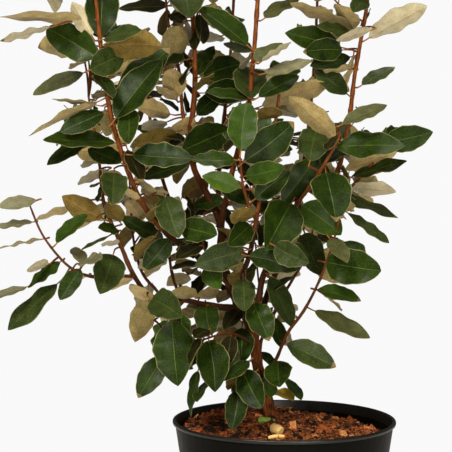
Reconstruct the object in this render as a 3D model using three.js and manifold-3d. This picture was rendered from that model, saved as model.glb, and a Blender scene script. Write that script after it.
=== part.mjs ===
import * as THREE from 'three';
import { mergeVertices } from 'three/addons/utils/BufferGeometryUtils.js';
import Module from 'manifold-3d';

// A young evergreen elaeagnus shrub in a round black nursery pot.
// Millimetres, +Z up, -Y towards the viewer, +X to the viewer's right.
// The origin is the centre of the pot's flat underside.

const SEED = 2611;
const CLEAR = 0.3; // gap kept between pieces that meet
const UP = new THREE.Vector3(0, 0, 1);

const POT = {
  height: 232.5,
  rimRadius: 141.5,
  lip: 2.4, // how far the lip stands out of the wall
  lipHeight: 5,
  footRadius: 104,
  wall: 2.2,
  floor: 3,
  sides: 30,
  drains: 6,
  drainRadius: 8,
  drainCircle: 80,
};

const SUBSTRATE = {
  level: 213,
  heap: 18, // rise round the foot of the trunk
  heapSpread: 46,
  tilt: 8, // rise towards the back left of the rim
  lumps: 1.8,
  rings: [0.88, 0.62, 0.4, 0.2],
};

const TRUNK = {
  name: 'trunk',
  route: [[-18, 12, 229], [-22, 12, 257], [-33, 11, 297], [-36, 10, 322], [-41, 9, 347]],
  thick: [15.5, 12.5],
  flare: 9, // extra diameter at the ground
  flareHeight: 26,
  sides: 10,
  steps: 8,
};

// Leaves and side twigs that a leafy stem has unless it says otherwise.
const FOLIAGE = {
  leaf: 68, // length with the leaf stalk
  spacing: 25, // between leaves on a stem
  twig: 95, // longest side twig
  twiggy: 0.5, // share of the nodes that bear a twig
  reach: 150, // how far from its stem a mass spreads
  droop: 0, // added to the hang that the height gives
  foot: 16, // bare foot of a leafy stem
  frontLeaf: -1, // least Y of the direction in which a leaf leaves its stem, so that a stem shows
};

// Each limb: points it passes through, its diameters at foot and tip, the length that is a bare bough,
// and what differs in its foliage. A limb that is bare all along carries no mass.
const LIMBS = [
  {
    name: 'left',
    route: [[-41, 9, 347], [-67, 18, 395], [-80, 32, 445], [-81, 38, 480], [-115, 48, 550], [-120, 52, 580],
      [-114, 56, 660], [-118, 52, 767], [-126, 44, 860], [-122, 38, 950]],
    thick: [11, 3], bare: 212, frontLeaf: -0.2,
  },
  {
    name: 'left_front',
    route: [[-73, 23, 420], [-110, 5, 439], [-148, -25, 470], [-177, -45, 508], [-198, -60, 562],
      [-214, -67, 620], [-230, -72, 753], [-238, -70, 850], [-234, -66, 915]],
    thick: [8, 3], bare: 112, frontLeaf: -0.2,
  },
  {
    name: 'centre',
    route: [[-81, 36, 474], [-74, 30, 509], [-62, 18, 560], [-47, 11, 616], [-40, 4, 678], [-34, -2, 761],
      [-26, -4, 880], [-22, 4, 1035]],
    thick: [7.5, 3], bare: 60, frontLeaf: -0.2, spacing: 26, twiggy: 0.42,
  },
  {
    name: 'right',
    route: [[-38, 9, 340], [-31, 30, 385], [-24, 42, 415], [-4, 45, 447], [37, 35, 494], [67, 20, 543],
      [81, 8, 605], [88, 0, 667], [103, -8, 760], [112, -14, 850], [108, -18, 920]],
    thick: [8.5, 3], bare: 158, frontLeaf: -0.2,
  },
  {
    name: 'front',
    route: [[-40, 9, 342], [-49, -12, 387], [-53, -25, 414], [-44, -40, 446], [-36, -54, 491],
      [-28, -47, 540], [-16, -42, 590], [-8, -46, 650], [-6, -56, 705]],
    thick: [7.5, 3], bare: 150, twig: 70,
  },
  {
    name: 'low_left',
    route: [[-55, 13, 371], [-87, 20, 374], [-108, 24, 377], [-132, 26, 382], [-152, 17, 383],
      [-171, 0, 390], [-190, -16, 418], [-210, -20, 467], [-226, -14, 505], [-233, -8, 560], [-246, -4, 640]],
    thick: [8, 2.6], bare: 172, twig: 80,
  },
  {
    name: 'back_right',
    route: [[-37, 10, 334], [-20, 56, 385], [4, 98, 440], [24, 135, 510], [38, 160, 590], [48, 178, 690],
      [56, 188, 860]],
    thick: [8, 3], bare: 190, spacing: 30, twiggy: 0.4,
  },
  {
    name: 'back_centre',
    route: [[-77, 27, 432], [-80, 72, 466], [-84, 116, 520], [-78, 150, 600], [-68, 170, 700],
      [-60, 178, 840]],
    thick: [7.5, 3], bare: 128,
  },
  {
    name: 'back_left',
    route: [[-60, 15, 383], [-88, 62, 404], [-120, 106, 444], [-152, 138, 510], [-174, 158, 590],
      [-190, 168, 740]],
    thick: [7.5, 3], bare: 125, spacing: 29, twiggy: 0.4,
  },
  {
    name: 'left_rear',
    route: [[-119, 51, 573], [-130, 75, 620], [-136, 92, 680], [-150, 104, 740], [-160, 112, 880]],
    thick: [5, 2.6], bare: 0,
  },
  {
    name: 'front_young',
    route: [[-37, -53, 486], [-46, -62, 506], [-53, -72, 530], [-57, -84, 565], [-58, -90, 600]],
    thick: [4, 2.2], bare: 0, twig: 48, leaf: 58, spacing: 15,
  },
  {
    name: 'right_front',
    route: [[-2, 44, 448], [8, 5, 482], [16, -25, 507], [28, -42, 526], [44, -56, 552], [64, -66, 590],
      [76, -70, 640]],
    thick: [5.5, 2.4], bare: 0, twig: 66, spacing: 20,
  },
  {
    name: 'right_side',
    route: [[33, 36, 489], [60, 34, 505], [88, 26, 528], [114, 16, 560], [130, 10, 615]],
    thick: [5, 2.4], bare: 0, twig: 60, spacing: 15,
  },
  {
    name: 'far_left',
    route: [[-188, -15, 415], [-212, -31, 417], [-240, -42, 417], [-264, -50, 428], [-296, -60, 467],
      [-313, -64, 507]],
    thick: [4.5, 2.2], bare: 0, twig: 62, spacing: 20, foot: 62,
  },
  {
    name: 'low_back_left',
    route: [[-153, 16, 383], [-165, 38, 394], [-182, 56, 412], [-194, 74, 446], [-202, 86, 540]],
    thick: [4.5, 2.2], bare: 0, twig: 70,
  },
  {
    name: 'low_mid_left',
    route: [[-128, 26, 381], [-140, 46, 400], [-147, 62, 428], [-150, 76, 465], [-146, 84, 510]],
    thick: [4.5, 2.2], bare: 0, twig: 55,
  },
  {
    name: 'mid_front_left',
    route: [[-67, 18, 396], [-84, -14, 418], [-97, -42, 442], [-106, -60, 474]],
    thick: [4.2, 2.2], bare: 0, twig: 52, twiggy: 0.35, spacing: 12,
  },
  {
    name: 'mid_front_right',
    route: [[-47, -35, 437], [-28, -62, 450], [-4, -82, 470], [14, -92, 502]],
    thick: [4.2, 2.2], bare: 0, twig: 52, twiggy: 0.35, spacing: 12,
  },
  {
    name: 'inner_back',
    route: [[-80, 35, 458], [-64, 58, 470], [-44, 80, 496], [-32, 96, 545]],
    thick: [4.4, 2.2], bare: 0, twig: 55, spacing: 15,
  },
  {
    name: 'front_low',
    route: [[-44, -2, 363], [-41, -30, 374], [-33, -54, 386], [-24, -74, 400]],
    thick: [4.2, 2.2], bare: 0, twig: 45, twiggy: 0.2, spacing: 11, droop: 0.2,
  },
  {
    name: 'low_right',
    route: [[-28, 11, 280], [-11, -20, 311], [2, -36, 345], [22, -48, 375], [41, -60, 415], [57, -66, 462],
      [64, -68, 492]],
    thick: [5, 2.4], bare: 0, twig: 55, twiggy: 0.2, spacing: 27, foot: 30,
  },
  {
    name: 'low_front',
    route: [[-35, 10, 316], [-52, -18, 338], [-74, -40, 346], [-104, -58, 340]],
    thick: [4.2, 2.2], bare: 0, twig: 45, twiggy: 0.2, spacing: 11, droop: 0.4,
  },
  {
    name: 'low_base',
    route: [[-28, 12, 280], [-32, -14, 300], [-40, -38, 312], [-52, -58, 312]],
    thick: [4, 2.2], bare: 0, twig: 40, twiggy: 0.2, spacing: 11, droop: 0.5,
  },
  {
    name: 'under_left',
    route: [[-118, 25, 380], [-126, 0, 382], [-140, -28, 378], [-162, -52, 364]],
    thick: [4, 2.2], bare: 0, twig: 45, twiggy: 0.2, spacing: 12, droop: 0.5,
  },
  {
    name: 'low_back',
    route: [[-32, 11, 296], [-28, 50, 322], [-22, 86, 352], [-30, 116, 400], [-34, 130, 450]],
    thick: [4.6, 2.2], bare: 0, twig: 62,
  },
  {
    name: 'low_back_right',
    route: [[-35, 10, 318], [-20, 38, 345], [2, 60, 385], [36, 80, 440], [62, 90, 500], [72, 94, 540]],
    thick: [4.8, 2.2], bare: 0, twig: 62,
  },
];

const LEAF = {
  width: 0.5, // of its length
  heart: 0.16, // where along its length it is thickest
  thick: 0.034, // of its length, there
  outline: [[-1, 0], [-0.5, 0.36], [0.5, 0.74], [1, 1]], // from the six-sided disc to the length
  shoulders: [1.1, 0.86], // half widths at the two pairs of side points
  samples: [[0.25, 0], [0.4, 0], [0.55, 0], [0.7, 0], [0.85, 0], [1, 0], [0.32, 0.42], [0.32, -0.42],
    [0.48, 0.45], [0.48, -0.45], [0.64, 0.4], [0.64, -0.4], [0.8, 0.28], [0.8, -0.28]],
};

const RULE = {
  golden: THREE.MathUtils.degToRad(137.5), // turn between leaves on an upright stem
  level: 0.62, // a stem less steep than this has its leaves in two ranks
  axis: [-60, 20], // the crown's middle, which leaves face away from
  facing: [0.45, 1.6], // the wide crown's leaves face more to its front and back
  lastLeaf: 4, // from a stem's tip to the root of its last leaf
  shortTwig: 34, // no shorter side twig
  twigSpacing: 21,
  twigThick: [2.7, 1.7],
  twigRise: [0.35, 0.8],
  twigLift: 0.3,
  leafRise: [0.2, 0.75],
  leafApart: 8.5, // between leaves
  shared: 28, // how far a leaf may pass the middle between two stems
  limbApart: 3, // from a leaf to a limb's bark
  hangLow: 300, // height under which leaves hang
  hangHigh: 680, // and over which they don't
  hang: 0.95,
  lowest: 241, // nothing hangs lower, clear of the pot's rim
  tries: [0, 0.6, -0.6, 1.2, -1.2, 2, -2],
};

const COLOURS = {
  pot: [0x17181a, 0.42],
  substrate: [0x6a3520, 0.95],
  bark: [0x7a3f25, 0.85],
  foliage: [0x35502c, 0.5],
};

const wasm = await Module();
wasm.setup();

/** A repeatable number from 0 to 1 for a row of whole-number keys. */
function chance(...keys) {
  let h = SEED;
  for (const key of keys) {
    h = Math.imul(h ^ key, 0x9e3779b1);
    h ^= h >>> 15;
  }
  h = Math.imul(h, 0x85ebca6b);
  h ^= h >>> 13;
  return (h >>> 0) / 4294967296;
}

/** A number between two ends for a row of keys. */
function between([low, high], ...keys) {
  return low + (high - low) * chance(...keys);
}

/** Closed solid of a geometry. */
function solid(geometry) {
  const bare = geometry.clone();
  bare.deleteAttribute('normal');
  bare.deleteAttribute('uv');
  const merged = mergeVertices(bare, 1e-4);
  return new wasm.Manifold(new wasm.Mesh({
    numProp: 3,
    vertProperties: new Float32Array(merged.attributes.position.array),
    triVerts: new Uint32Array(merged.index.array),
  }));
}

/** Geometry of a closed solid. */
function geometryOf(body) {
  const mesh = body.getMesh();
  const geometry = new THREE.BufferGeometry();
  geometry.setAttribute('position', new THREE.BufferAttribute(mesh.vertProperties.slice(), 3));
  geometry.setIndex(new THREE.BufferAttribute(mesh.triVerts.slice(), 1));
  geometry.computeVertexNormals();
  return geometry;
}

/** One body: scraps are dropped and sealed hollows filled. */
function oneBody(body) {
  const bodies = body.decompose();
  return bodies.reduce((a, b) => (b.volume() > a.volume() ? b : a));
}

/** A curved, tapering limb. */
class Limb {
  constructor({ name, route, thick, flare = 0, flareHeight = 1 }) {
    this.name = name;
    this.curve = new THREE.CatmullRomCurve3(route.map((p) => new THREE.Vector3(...p)), false, 'centripetal');
    this.length = this.curve.getLength();
    this.thick = thick;
    this.flare = flare;
    this.flareHeight = flareHeight;
  }

  share(run) {
    return THREE.MathUtils.clamp(run / this.length, 0, 1);
  }

  point(run) {
    return this.curve.getPointAt(this.share(run));
  }

  heading(run) {
    return this.curve.getTangentAt(this.share(run));
  }

  radius(run) {
    const taper = THREE.MathUtils.lerp(this.thick[0], this.thick[1], this.share(run));
    return 0.5 * (taper + this.flare * Math.exp(-3 * Math.max(run, 0) / this.flareHeight));
  }

  /** Points on the axis, with the bark's radius, from one run to another. */
  axis(start, end, step = 7) {
    const count = Math.max(2, Math.ceil((end - start) / step));
    return Array.from({ length: count + 1 }, (_, i) => {
      const run = start + (end - start) * i / count;
      return { point: this.point(run), radius: this.radius(run) };
    });
  }

  /** The limb's solid between two runs, grown by a margin all round. */
  solid(start, end, sides, steps, margin = 0) {
    const geometry = new THREE.CylinderGeometry(1, 1, 1, sides, steps);
    const places = geometry.attributes.position;
    const fixed = this.steadiest(start, end);
    for (let i = 0; i < places.count; i += 1) {
      const run = start + (end - start) * (places.getY(i) + 0.5);
      const heading = this.heading(run);
      const side = heading.clone().cross(fixed).normalize();
      const back = side.clone().cross(heading);
      const radius = this.radius(run) + margin;
      const overrun = margin * Math.sign(places.getY(i)) * (Math.abs(places.getY(i)) > 0.499 ? 1 : 0);
      const place = this.point(run)
        .addScaledVector(heading, overrun)
        .addScaledVector(side, places.getX(i) * radius)
        .addScaledVector(back, places.getZ(i) * radius);
      places.setXYZ(i, place.x, place.y, place.z);
    }
    return solid(geometry);
  }

  /** The main axis that the limb's headings keep furthest from. */
  steadiest(start, end) {
    const choices = [new THREE.Vector3(1, 0, 0), new THREE.Vector3(0, 1, 0), UP];
    const worst = choices.map((axis) => Math.max(
      ...[0, 0.25, 0.5, 0.75, 1].map((f) => Math.abs(this.heading(start + (end - start) * f).dot(axis))),
    ));
    return choices[worst.indexOf(Math.min(...worst))];
  }
}

/** A side twig: two straight lengths that meet at a node. */
class Twig extends Limb {
  constructor(route) {
    super({ name: 'twig', route: route.map((p) => p.toArray()), thick: RULE.twigThick });
    this.route = route;
  }

  point(run) {
    const place = 2 * this.share(run);
    const half = place < 1 ? 0 : 1;
    return this.route[half].clone().lerp(this.route[half + 1], place - half);
  }

  heading(run) {
    const half = this.share(run) < 0.5 ? 0 : 1;
    return this.route[half + 1].clone().sub(this.route[half]).normalize();
  }
}

/** Unit vectors across a heading: level, and square to both. */
function across(heading) {
  const side = heading.clone().cross(UP);
  if (side.length() < 0.05) side.set(1, 0, 0);
  side.normalize();
  return { side, back: side.clone().cross(heading) };
}

/** Direction that stands out from a heading at a turn round it. */
function outwards(heading, turn) {
  const { side, back } = across(heading);
  return side.multiplyScalar(Math.cos(turn)).addScaledVector(back, Math.sin(turn));
}

/** Where a leaf lies: root, direction, upper face and sizes. */
function layLeaf(root, heading, turn, length, droop, keys) {
  const rise = between(RULE.leafRise, ...keys, 1);
  const height = THREE.MathUtils.smoothstep(root.z, RULE.hangLow, RULE.hangHigh);
  const hang = RULE.hang * (1 - height) + droop + 0.5 * (chance(...keys, 2) - 0.5);
  const along = outwards(heading, turn).addScaledVector(heading, rise).addScaledVector(UP, -hang).normalize();
  const away = new THREE.Vector3(
    (root.x - RULE.axis[0]) * RULE.facing[0],
    (root.y - RULE.axis[1]) * RULE.facing[1],
    0,
  ).normalize();
  const face = UP.clone().multiplyScalar(0.6).addScaledVector(away, 0.8);
  face.addScaledVector(along, -face.dot(along)).normalize();
  face.applyAxisAngle(along, 1.5 * (chance(...keys, 3) - 0.5));
  const side = along.clone().cross(face);
  return { root, along, face, side, length, width: length * LEAF.width };
}

/** Points of a leaf by which its space is judged. */
function leafSamples(leaf) {
  return LEAF.samples.map(([t, w]) => leaf.root.clone()
    .addScaledVector(leaf.along, t * leaf.length)
    .addScaledVector(leaf.side, w * leaf.width));
}

/** Solid of a leaf: a thin six-sided lens, thickest near its stalk. */
function leafSolid(leaf, margin = 0) {
  const geometry = new THREE.SphereGeometry(1, 6, 2);
  const places = geometry.attributes.position;
  for (let i = 0; i < places.count; i += 1) {
    const pole = places.getY(i);
    const disc = places.getX(i);
    const t = Math.abs(pole) > 0.5 ? LEAF.heart
      : LEAF.outline.reduce((a, b) => (Math.abs(b[0] - disc) < Math.abs(a[0] - disc) ? b : a))[1];
    const shoulder = LEAF.shoulders[disc < 0 ? 0 : 1];
    const spread = Math.abs(pole) > 0.5 ? 0 : places.getZ(i) / Math.sin(Math.PI / 3) * shoulder;
    const lift = Math.abs(pole) > 0.5 ? Math.sign(pole) * (LEAF.thick * leaf.length / 2 + margin) : 0;
    const place = leaf.root.clone()
      .addScaledVector(leaf.along, t * leaf.length)
      .addScaledVector(leaf.side, Math.abs(spread) < 0.01 ? 0 : spread * leaf.width / 2)
      .addScaledVector(leaf.face, lift);
    places.setXYZ(i, place.x, place.y, place.z);
  }
  return solid(geometry);
}

/** Smallest distance from a point to the bark of a row of axis points. */
function distanceTo(point, row) {
  let least = Infinity;
  for (const step of row) {
    least = Math.min(least, point.distanceTo(step.point) - step.radius);
  }
  return least;
}

const taken = []; // points of the leaves and twigs laid so far

/** A leafy stem: its twigs and leaves, laid by the seeded rule inside its own space. */
class Mass {
  constructor(limb, entry, index) {
    Object.assign(this, FOLIAGE, entry);
    this.limb = limb;
    this.index = index;
    this.start = entry.bare > 0 ? entry.bare + CLEAR : 0;
    this.stem = limb.axis(this.start, limb.length);
    this.twigs = [];
    this.leaves = [];
  }

  /** Whether every point is in this mass's space and clear of limbs, other stems and leaves. */
  free(points, stems, bare) {
    return points.every((point) => {
      if (point.z < RULE.lowest) return false;
      const own = distanceTo(point, this.stem);
      if (own > this.reach || own < 2) return false;
      if (bare.some((row) => distanceTo(point, row) < RULE.limbApart)) return false;
      const nearest = Math.max(RULE.limbApart, own - RULE.shared);
      if (stems.some((row) => row !== this.stem && distanceTo(point, row) < nearest)) return false;
      return taken.every((other) => point.distanceToSquared(other) > RULE.leafApart ** 2);
    });
  }

  addLeaf(root, heading, turn, length, stems, bare, keys) {
    for (const swing of RULE.tries) {
      if (outwards(heading, turn + swing).y < this.frontLeaf) continue;
      const leaf = layLeaf(root, heading, turn + swing, length, this.droop, keys);
      const points = leafSamples(leaf);
      if (!this.free(points, stems, bare)) continue;
      this.leaves.push(leaf);
      taken.push(...points);
      return;
    }
  }

  addTwig(root, heading, turn, length, stems, bare, keys) {
    for (const swing of RULE.tries) {
      const rise = between(RULE.twigRise, ...keys, 4);
      const first = outwards(heading, turn + swing).addScaledVector(heading, rise).normalize();
      const route = [0, 0.5, 1].map((t) => root.clone()
        .addScaledVector(first, t * length)
        .addScaledVector(UP, RULE.twigLift * length * t * t));
      const twig = new Twig(route);
      const points = twig.axis(0.25 * twig.length, twig.length, 10).map((step) => step.point);
      if (!this.free(points, stems, bare)) continue;
      this.twigs.push(twig);
      taken.push(...points.slice(0, -1));
      this.dressTwig(twig, stems, bare, keys);
      return;
    }
  }

  dressTwig(twig, stems, bare, keys) {
    const count = Math.round(0.72 * twig.length / RULE.twigSpacing);
    for (let i = 0; i <= count; i += 1) {
      const run = (twig.length - RULE.lastLeaf) * (1 - 0.72 * i / Math.max(count, 1));
      const heading = twig.heading(run);
      const turn = chance(...keys, 5) + Math.PI * i;
      const size = this.leaf * (i === 0 ? 0.92 : 0.8 + 0.35 * chance(...keys, i, 6));
      this.addLeaf(twig.point(run), heading, turn, size, stems, bare, [...keys, i, 7]);
    }
  }

  grow(stems, bare) {
    const span = this.limb.length - this.start - this.foot - RULE.lastLeaf;
    const nodes = Math.floor(span / this.spacing);
    for (let k = 0; k <= nodes; k += 1) {
      const run = this.limb.length - RULE.lastLeaf - span * k / nodes;
      const share = 1 - k / nodes;
      const root = this.limb.point(run);
      const heading = this.limb.heading(run);
      const twoRanked = heading.z < RULE.level;
      const turn = twoRanked ? Math.PI * k + chance(this.index, k, 8) - 0.5 : RULE.golden * k + this.index;
      const fullness = Math.sin(Math.PI * (0.3 + 0.7 * share));
      const twig = this.twig * fullness * (0.65 + 0.6 * chance(this.index, k, 9));
      const keys = [this.index, k];
      if (chance(this.index, k, 10) < this.twiggy && twig > RULE.shortTwig) {
        this.addTwig(root, heading, turn, twig, stems, bare, keys);
      } else {
        const size = this.leaf * (share > 0.9 ? 0.72 : 0.85 + 0.35 * chance(this.index, k, 11));
        this.addLeaf(root, heading, turn, size, stems, bare, keys);
      }
    }
  }
}

/** Height of the substrate's top. */
function groundAt(x, y) {
  const [tx, ty] = TRUNK.route[0];
  const away = Math.hypot(x - tx, y - ty);
  const heap = SUBSTRATE.heap * Math.exp(-0.5 * (Math.max(away - 16, 0) / SUBSTRATE.heapSpread) ** 2);
  const tilt = SUBSTRATE.tilt * (y - 1.2 * x) / (1.6 * POT.rimRadius);
  const lumps = SUBSTRATE.lumps * Math.sin(0.09 * x + 1) * Math.sin(0.11 * y + 2);
  return SUBSTRATE.level + heap + tilt + lumps;
}

/** Inner radius of the pot's wall at a height. */
function innerRadius(z) {
  const top = POT.rimRadius - POT.lip - POT.wall;
  const foot = POT.footRadius - POT.wall;
  return THREE.MathUtils.lerp(foot, top, z / POT.height);
}

function buildPot() {
  const { height, rimRadius, lip, lipHeight, footRadius, wall, floor, sides } = POT;
  const wallTop = rimRadius - lip;
  const profile = [
    [0, 0], [footRadius - 4, 0], [footRadius, 4],
    [THREE.MathUtils.lerp(footRadius, wallTop, (height - lipHeight - 2) / height), height - lipHeight - 2],
    [rimRadius, height - lipHeight], [rimRadius, height - 2], [rimRadius - 1.6, height],
    [wallTop - wall + 1.6, height], [innerRadius(height - 3), height - 3],
    [innerRadius(floor + 4), floor + 4], [footRadius - wall - 3, floor], [0, floor],
  ].map((p) => new THREE.Vector2(...p));
  const lathe = new THREE.LatheGeometry(profile, sides);
  lathe.rotateX(Math.PI / 2);
  let body = solid(lathe);
  for (let i = 0; i < POT.drains; i += 1) {
    const drain = new THREE.CylinderGeometry(POT.drainRadius, POT.drainRadius, 4 * floor, 10);
    drain.rotateX(Math.PI / 2);
    const turn = (i + 0.5) * 2 * Math.PI / POT.drains;
    drain.translate(POT.drainCircle * Math.cos(turn), POT.drainCircle * Math.sin(turn), floor / 2);
    body = body.subtract(solid(drain));
  }
  return body;
}

function buildSubstrate(trunkSocket) {
  const base = POT.floor + CLEAR;
  const edge = SUBSTRATE.level;
  const foot = POT.footRadius - POT.wall - 3 - 2 * CLEAR;
  const wallGap = CLEAR / Math.cos(Math.PI / POT.sides) + 0.9; // the facets of both pieces stay apart
  const shoulder = innerRadius(base + 6) - wallGap;
  const profile = [[0, base], [foot, base], [shoulder, base + 6], [innerRadius(edge) - wallGap, edge]]
    .concat(SUBSTRATE.rings.map((share) => [share * (innerRadius(edge) - wallGap), edge]))
    .concat([[0, edge]])
    .map((p) => new THREE.Vector2(...p));
  const lathe = new THREE.LatheGeometry(profile, POT.sides);
  lathe.rotateX(Math.PI / 2);
  const places = lathe.attributes.position;
  for (let i = 0; i < places.count; i += 1) {
    if (places.getZ(i) > edge - 1) {
      const top = groundAt(places.getX(i), places.getY(i));
      const wide = Math.hypot(places.getX(i), places.getY(i));
      const fit = wide > 1 ? Math.min(1, (innerRadius(top) - wallGap) / wide) : 1;
      places.setXYZ(i, places.getX(i) * fit, places.getY(i) * fit, top);
    }
  }
  return oneBody(solid(lathe).subtract(trunkSocket));
}

const plant = new THREE.Group();

function place(name, body, [colour, roughness]) {
  const material = new THREE.MeshStandardMaterial({ color: colour, roughness, metalness: 0 });
  const mesh = new THREE.Mesh(geometryOf(body), material);
  mesh.name = name;
  plant.add(mesh);
}

const trunk = new Limb(TRUNK);
const trunkSolid = trunk.solid(0, trunk.length, TRUNK.sides, TRUNK.steps);
const grownLimbs = [trunk.solid(0, trunk.length, TRUNK.sides, TRUNK.steps, CLEAR)];
place('pot', buildPot(), COLOURS.pot);
place('substrate', buildSubstrate(grownLimbs[0]), COLOURS.substrate);
place('trunk', trunkSolid, COLOURS.bark);

// Bare boughs, each cut clear of the limbs that were there before it.
const limbs = LIMBS.map((entry) => new Limb(entry));
const bareRows = [trunk.axis(0, trunk.length)];
LIMBS.forEach((entry, i) => {
  if (entry.bare === 0) return;
  const steps = Math.round(entry.bare / 20);
  const start = entry.name === 'left' ? CLEAR : 0;
  const whole = limbs[i].solid(start, entry.bare, 5, steps);
  const cut = grownLimbs.reduce((body, other) => body.subtract(other), whole);
  place(`${entry.name}_bough`, oneBody(cut), COLOURS.bark);
  grownLimbs.push(limbs[i].solid(start, entry.bare, 5, steps, CLEAR));
  bareRows.push(limbs[i].axis(0, entry.bare));
});

// Leafy masses: every stem is known before the first leaf is laid.
const masses = LIMBS.map((entry, i) => new Mass(limbs[i], entry, i + 1));
const stemRows = masses.map((mass) => mass.stem);
const stemSolids = masses.map((mass) => {
  const span = mass.limb.length - mass.start;
  const sides = mass.start > 0 ? 4 : 3;
  const steps = Math.max(4, Math.round(span / 36));
  const whole = mass.limb.solid(mass.start, mass.limb.length, sides, steps);
  const cut = oneBody(grownLimbs.reduce((body, other) => body.subtract(other), whole));
  grownLimbs.push(mass.limb.solid(mass.start, mass.limb.length, sides, steps, CLEAR));
  return cut;
});

/** Whether two solids meet. */
function meets(a, b) {
  const boxA = a.boundingBox();
  const boxB = b.boundingBox();
  const apart = [0, 1, 2].some((k) => boxA.min[k] > boxB.max[k] || boxB.min[k] > boxA.max[k]);
  return !apart && !a.intersect(b).isEmpty();
}

const standing = grownLimbs.slice(0, bareRows.length);
masses.forEach((mass, i) => {
  mass.grow(stemRows, bareRows);
  const others = standing.concat(stemSolids.filter((_, k) => k !== i));
  const twigs = mass.twigs
    .map((twig) => twig.solid(0, twig.length, 3, 2))
    .filter((twig) => !others.some((other) => meets(twig, other)));
  const leaves = mass.leaves
    .map((leaf) => [leafSolid(leaf), leafSolid(leaf, CLEAR)])
    .filter(([, grown]) => !others.some((other) => meets(grown, other)))
    .map(([leaf]) => leaf);
  const body = oneBody(wasm.Manifold.union([stemSolids[i], ...twigs, ...leaves])).simplify(0.02);
  standing.push(...twigs, ...leaves);
  place(`${mass.name}_foliage`, body, COLOURS.foliage);
});

export default plant;
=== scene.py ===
"""A young evergreen elaeagnus shrub in a round black nursery pot, dressed for its picture.

The leaves that the picture shows plainly are set first, on the limbs of the solids. Where those hide
them, more grow by the seeded rule of the solids, carried on to finer twigs within the same reach.
All is worked out in millimetres and then set out in metres in the frame's own place.
+Z is up, -Y is towards the viewer, and the origin is the centre of the pot's flat underside.
"""

import logging
import math
from dataclasses import dataclass, field
from enum import Enum, IntEnum
from typing import Callable, Sequence

import bpy
import numpy as np
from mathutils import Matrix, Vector


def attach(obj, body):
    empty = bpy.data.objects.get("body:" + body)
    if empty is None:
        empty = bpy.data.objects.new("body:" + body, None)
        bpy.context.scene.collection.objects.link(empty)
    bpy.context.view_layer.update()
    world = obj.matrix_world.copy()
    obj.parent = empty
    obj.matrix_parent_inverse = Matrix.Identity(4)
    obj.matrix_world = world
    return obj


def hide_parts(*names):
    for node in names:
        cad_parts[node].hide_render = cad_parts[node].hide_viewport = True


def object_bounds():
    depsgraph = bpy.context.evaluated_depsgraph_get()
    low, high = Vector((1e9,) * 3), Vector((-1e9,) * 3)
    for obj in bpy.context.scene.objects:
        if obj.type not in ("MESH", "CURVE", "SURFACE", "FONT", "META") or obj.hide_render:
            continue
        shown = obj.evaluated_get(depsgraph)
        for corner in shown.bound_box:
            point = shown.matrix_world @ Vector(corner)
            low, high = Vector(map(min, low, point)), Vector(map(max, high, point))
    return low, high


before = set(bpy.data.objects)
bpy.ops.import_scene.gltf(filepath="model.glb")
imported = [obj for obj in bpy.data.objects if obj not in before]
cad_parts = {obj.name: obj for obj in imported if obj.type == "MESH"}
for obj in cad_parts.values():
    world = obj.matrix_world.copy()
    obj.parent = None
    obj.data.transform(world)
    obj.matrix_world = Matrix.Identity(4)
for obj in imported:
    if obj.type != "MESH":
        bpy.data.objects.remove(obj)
CAD_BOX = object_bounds()

LOG = logging.getLogger("shrub")
Array = np.ndarray
Colour = tuple[float, float, float, float]
Point = tuple[float, float, float]
Pair = tuple[float, float]
Keys = tuple[int, ...]
Row = tuple[float, ...]
Axis = tuple[Array, Array]  # points and radii
Form = tuple[Array, list[Array]]  # points and faces
Piece = bpy.types.Object
Material = bpy.types.Material
Node = bpy.types.Node
NodeGroup = bpy.types.NodeTree
Socket = bpy.types.NodeSocket

MM = 0.001  # the frame is in metres
SEED = 2611
BODY = "root"
UP = np.array([0.0, 0.0, 1.0])
WORD = 0xFFFFFFFF
GOLDEN = math.radians(137.5)
SPRAYS = 100  # most sprays on a limb


class Slot(Enum):
    """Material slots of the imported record."""

    POT = "pot"
    SUBSTRATE = "substrate"
    BARK = "bark"
    FOLIAGE = "foliage"


class LeafTone(IntEnum):
    """Order of the finishes on a piece of leaves."""

    DARK, DEEP, FRESH, FROSTED, YOUNG, YELLOWED = range(6)
    GOLD_BACK, SILVER_BACK, OLIVE_BACK, RIB, BACK_RIB, MARGIN = range(6, 12)
    BROWNED, SILVERED, SHADED, SHADED_BACK, DUSTY = range(12, 17)


BACKS = (LeafTone.GOLD_BACK, LeafTone.SILVER_BACK, LeafTone.OLIVE_BACK, LeafTone.SHADED_BACK)
DRAWN_BACKS = 3  # how many of them a leaf may have by chance


class WoodTone(IntEnum):
    """Order of the finishes on a piece of twigs."""

    STEM, STALK = range(2)


class CrumbTone(IntEnum):
    """Order of the finishes on the pieces of the substrate."""

    PEAT, RUST, UMBER, TAN, GREEN, PALE = range(6)


# Numbers and lines


def chance(*keys: int) -> float:
    """Gives a repeatable number from 0 to 1 for a row of whole-number keys.

    Args:
        keys: the whole numbers that name one draw.

    Returns:
        The number of that draw.
    """
    h = SEED
    for key in keys:
        h = ((h ^ key) * 0x9E3779B1) & WORD
        h ^= h >> 15
    h = (h * 0x85EBCA6B) & WORD
    h ^= h >> 13
    return h / (WORD + 1)


def between(ends: Pair, *keys: int) -> float:
    """Gives a repeatable number between two ends for a row of keys."""
    return ends[0] + (ends[1] - ends[0]) * chance(*keys)


def unit(vector: Array) -> Array:
    """Gives vectors of length one, along the last axis."""
    return vector / np.maximum(np.linalg.norm(vector, axis=-1, keepdims=True), 1e-9)


def smoothstep(value: float, low: float, high: float) -> float:
    """Gives 0 under the low end, 1 over the high one, and a soft rise between."""
    t = min(max((value - low) / (high - low), 0.0), 1.0)
    return t * t * (3 - 2 * t)


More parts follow.
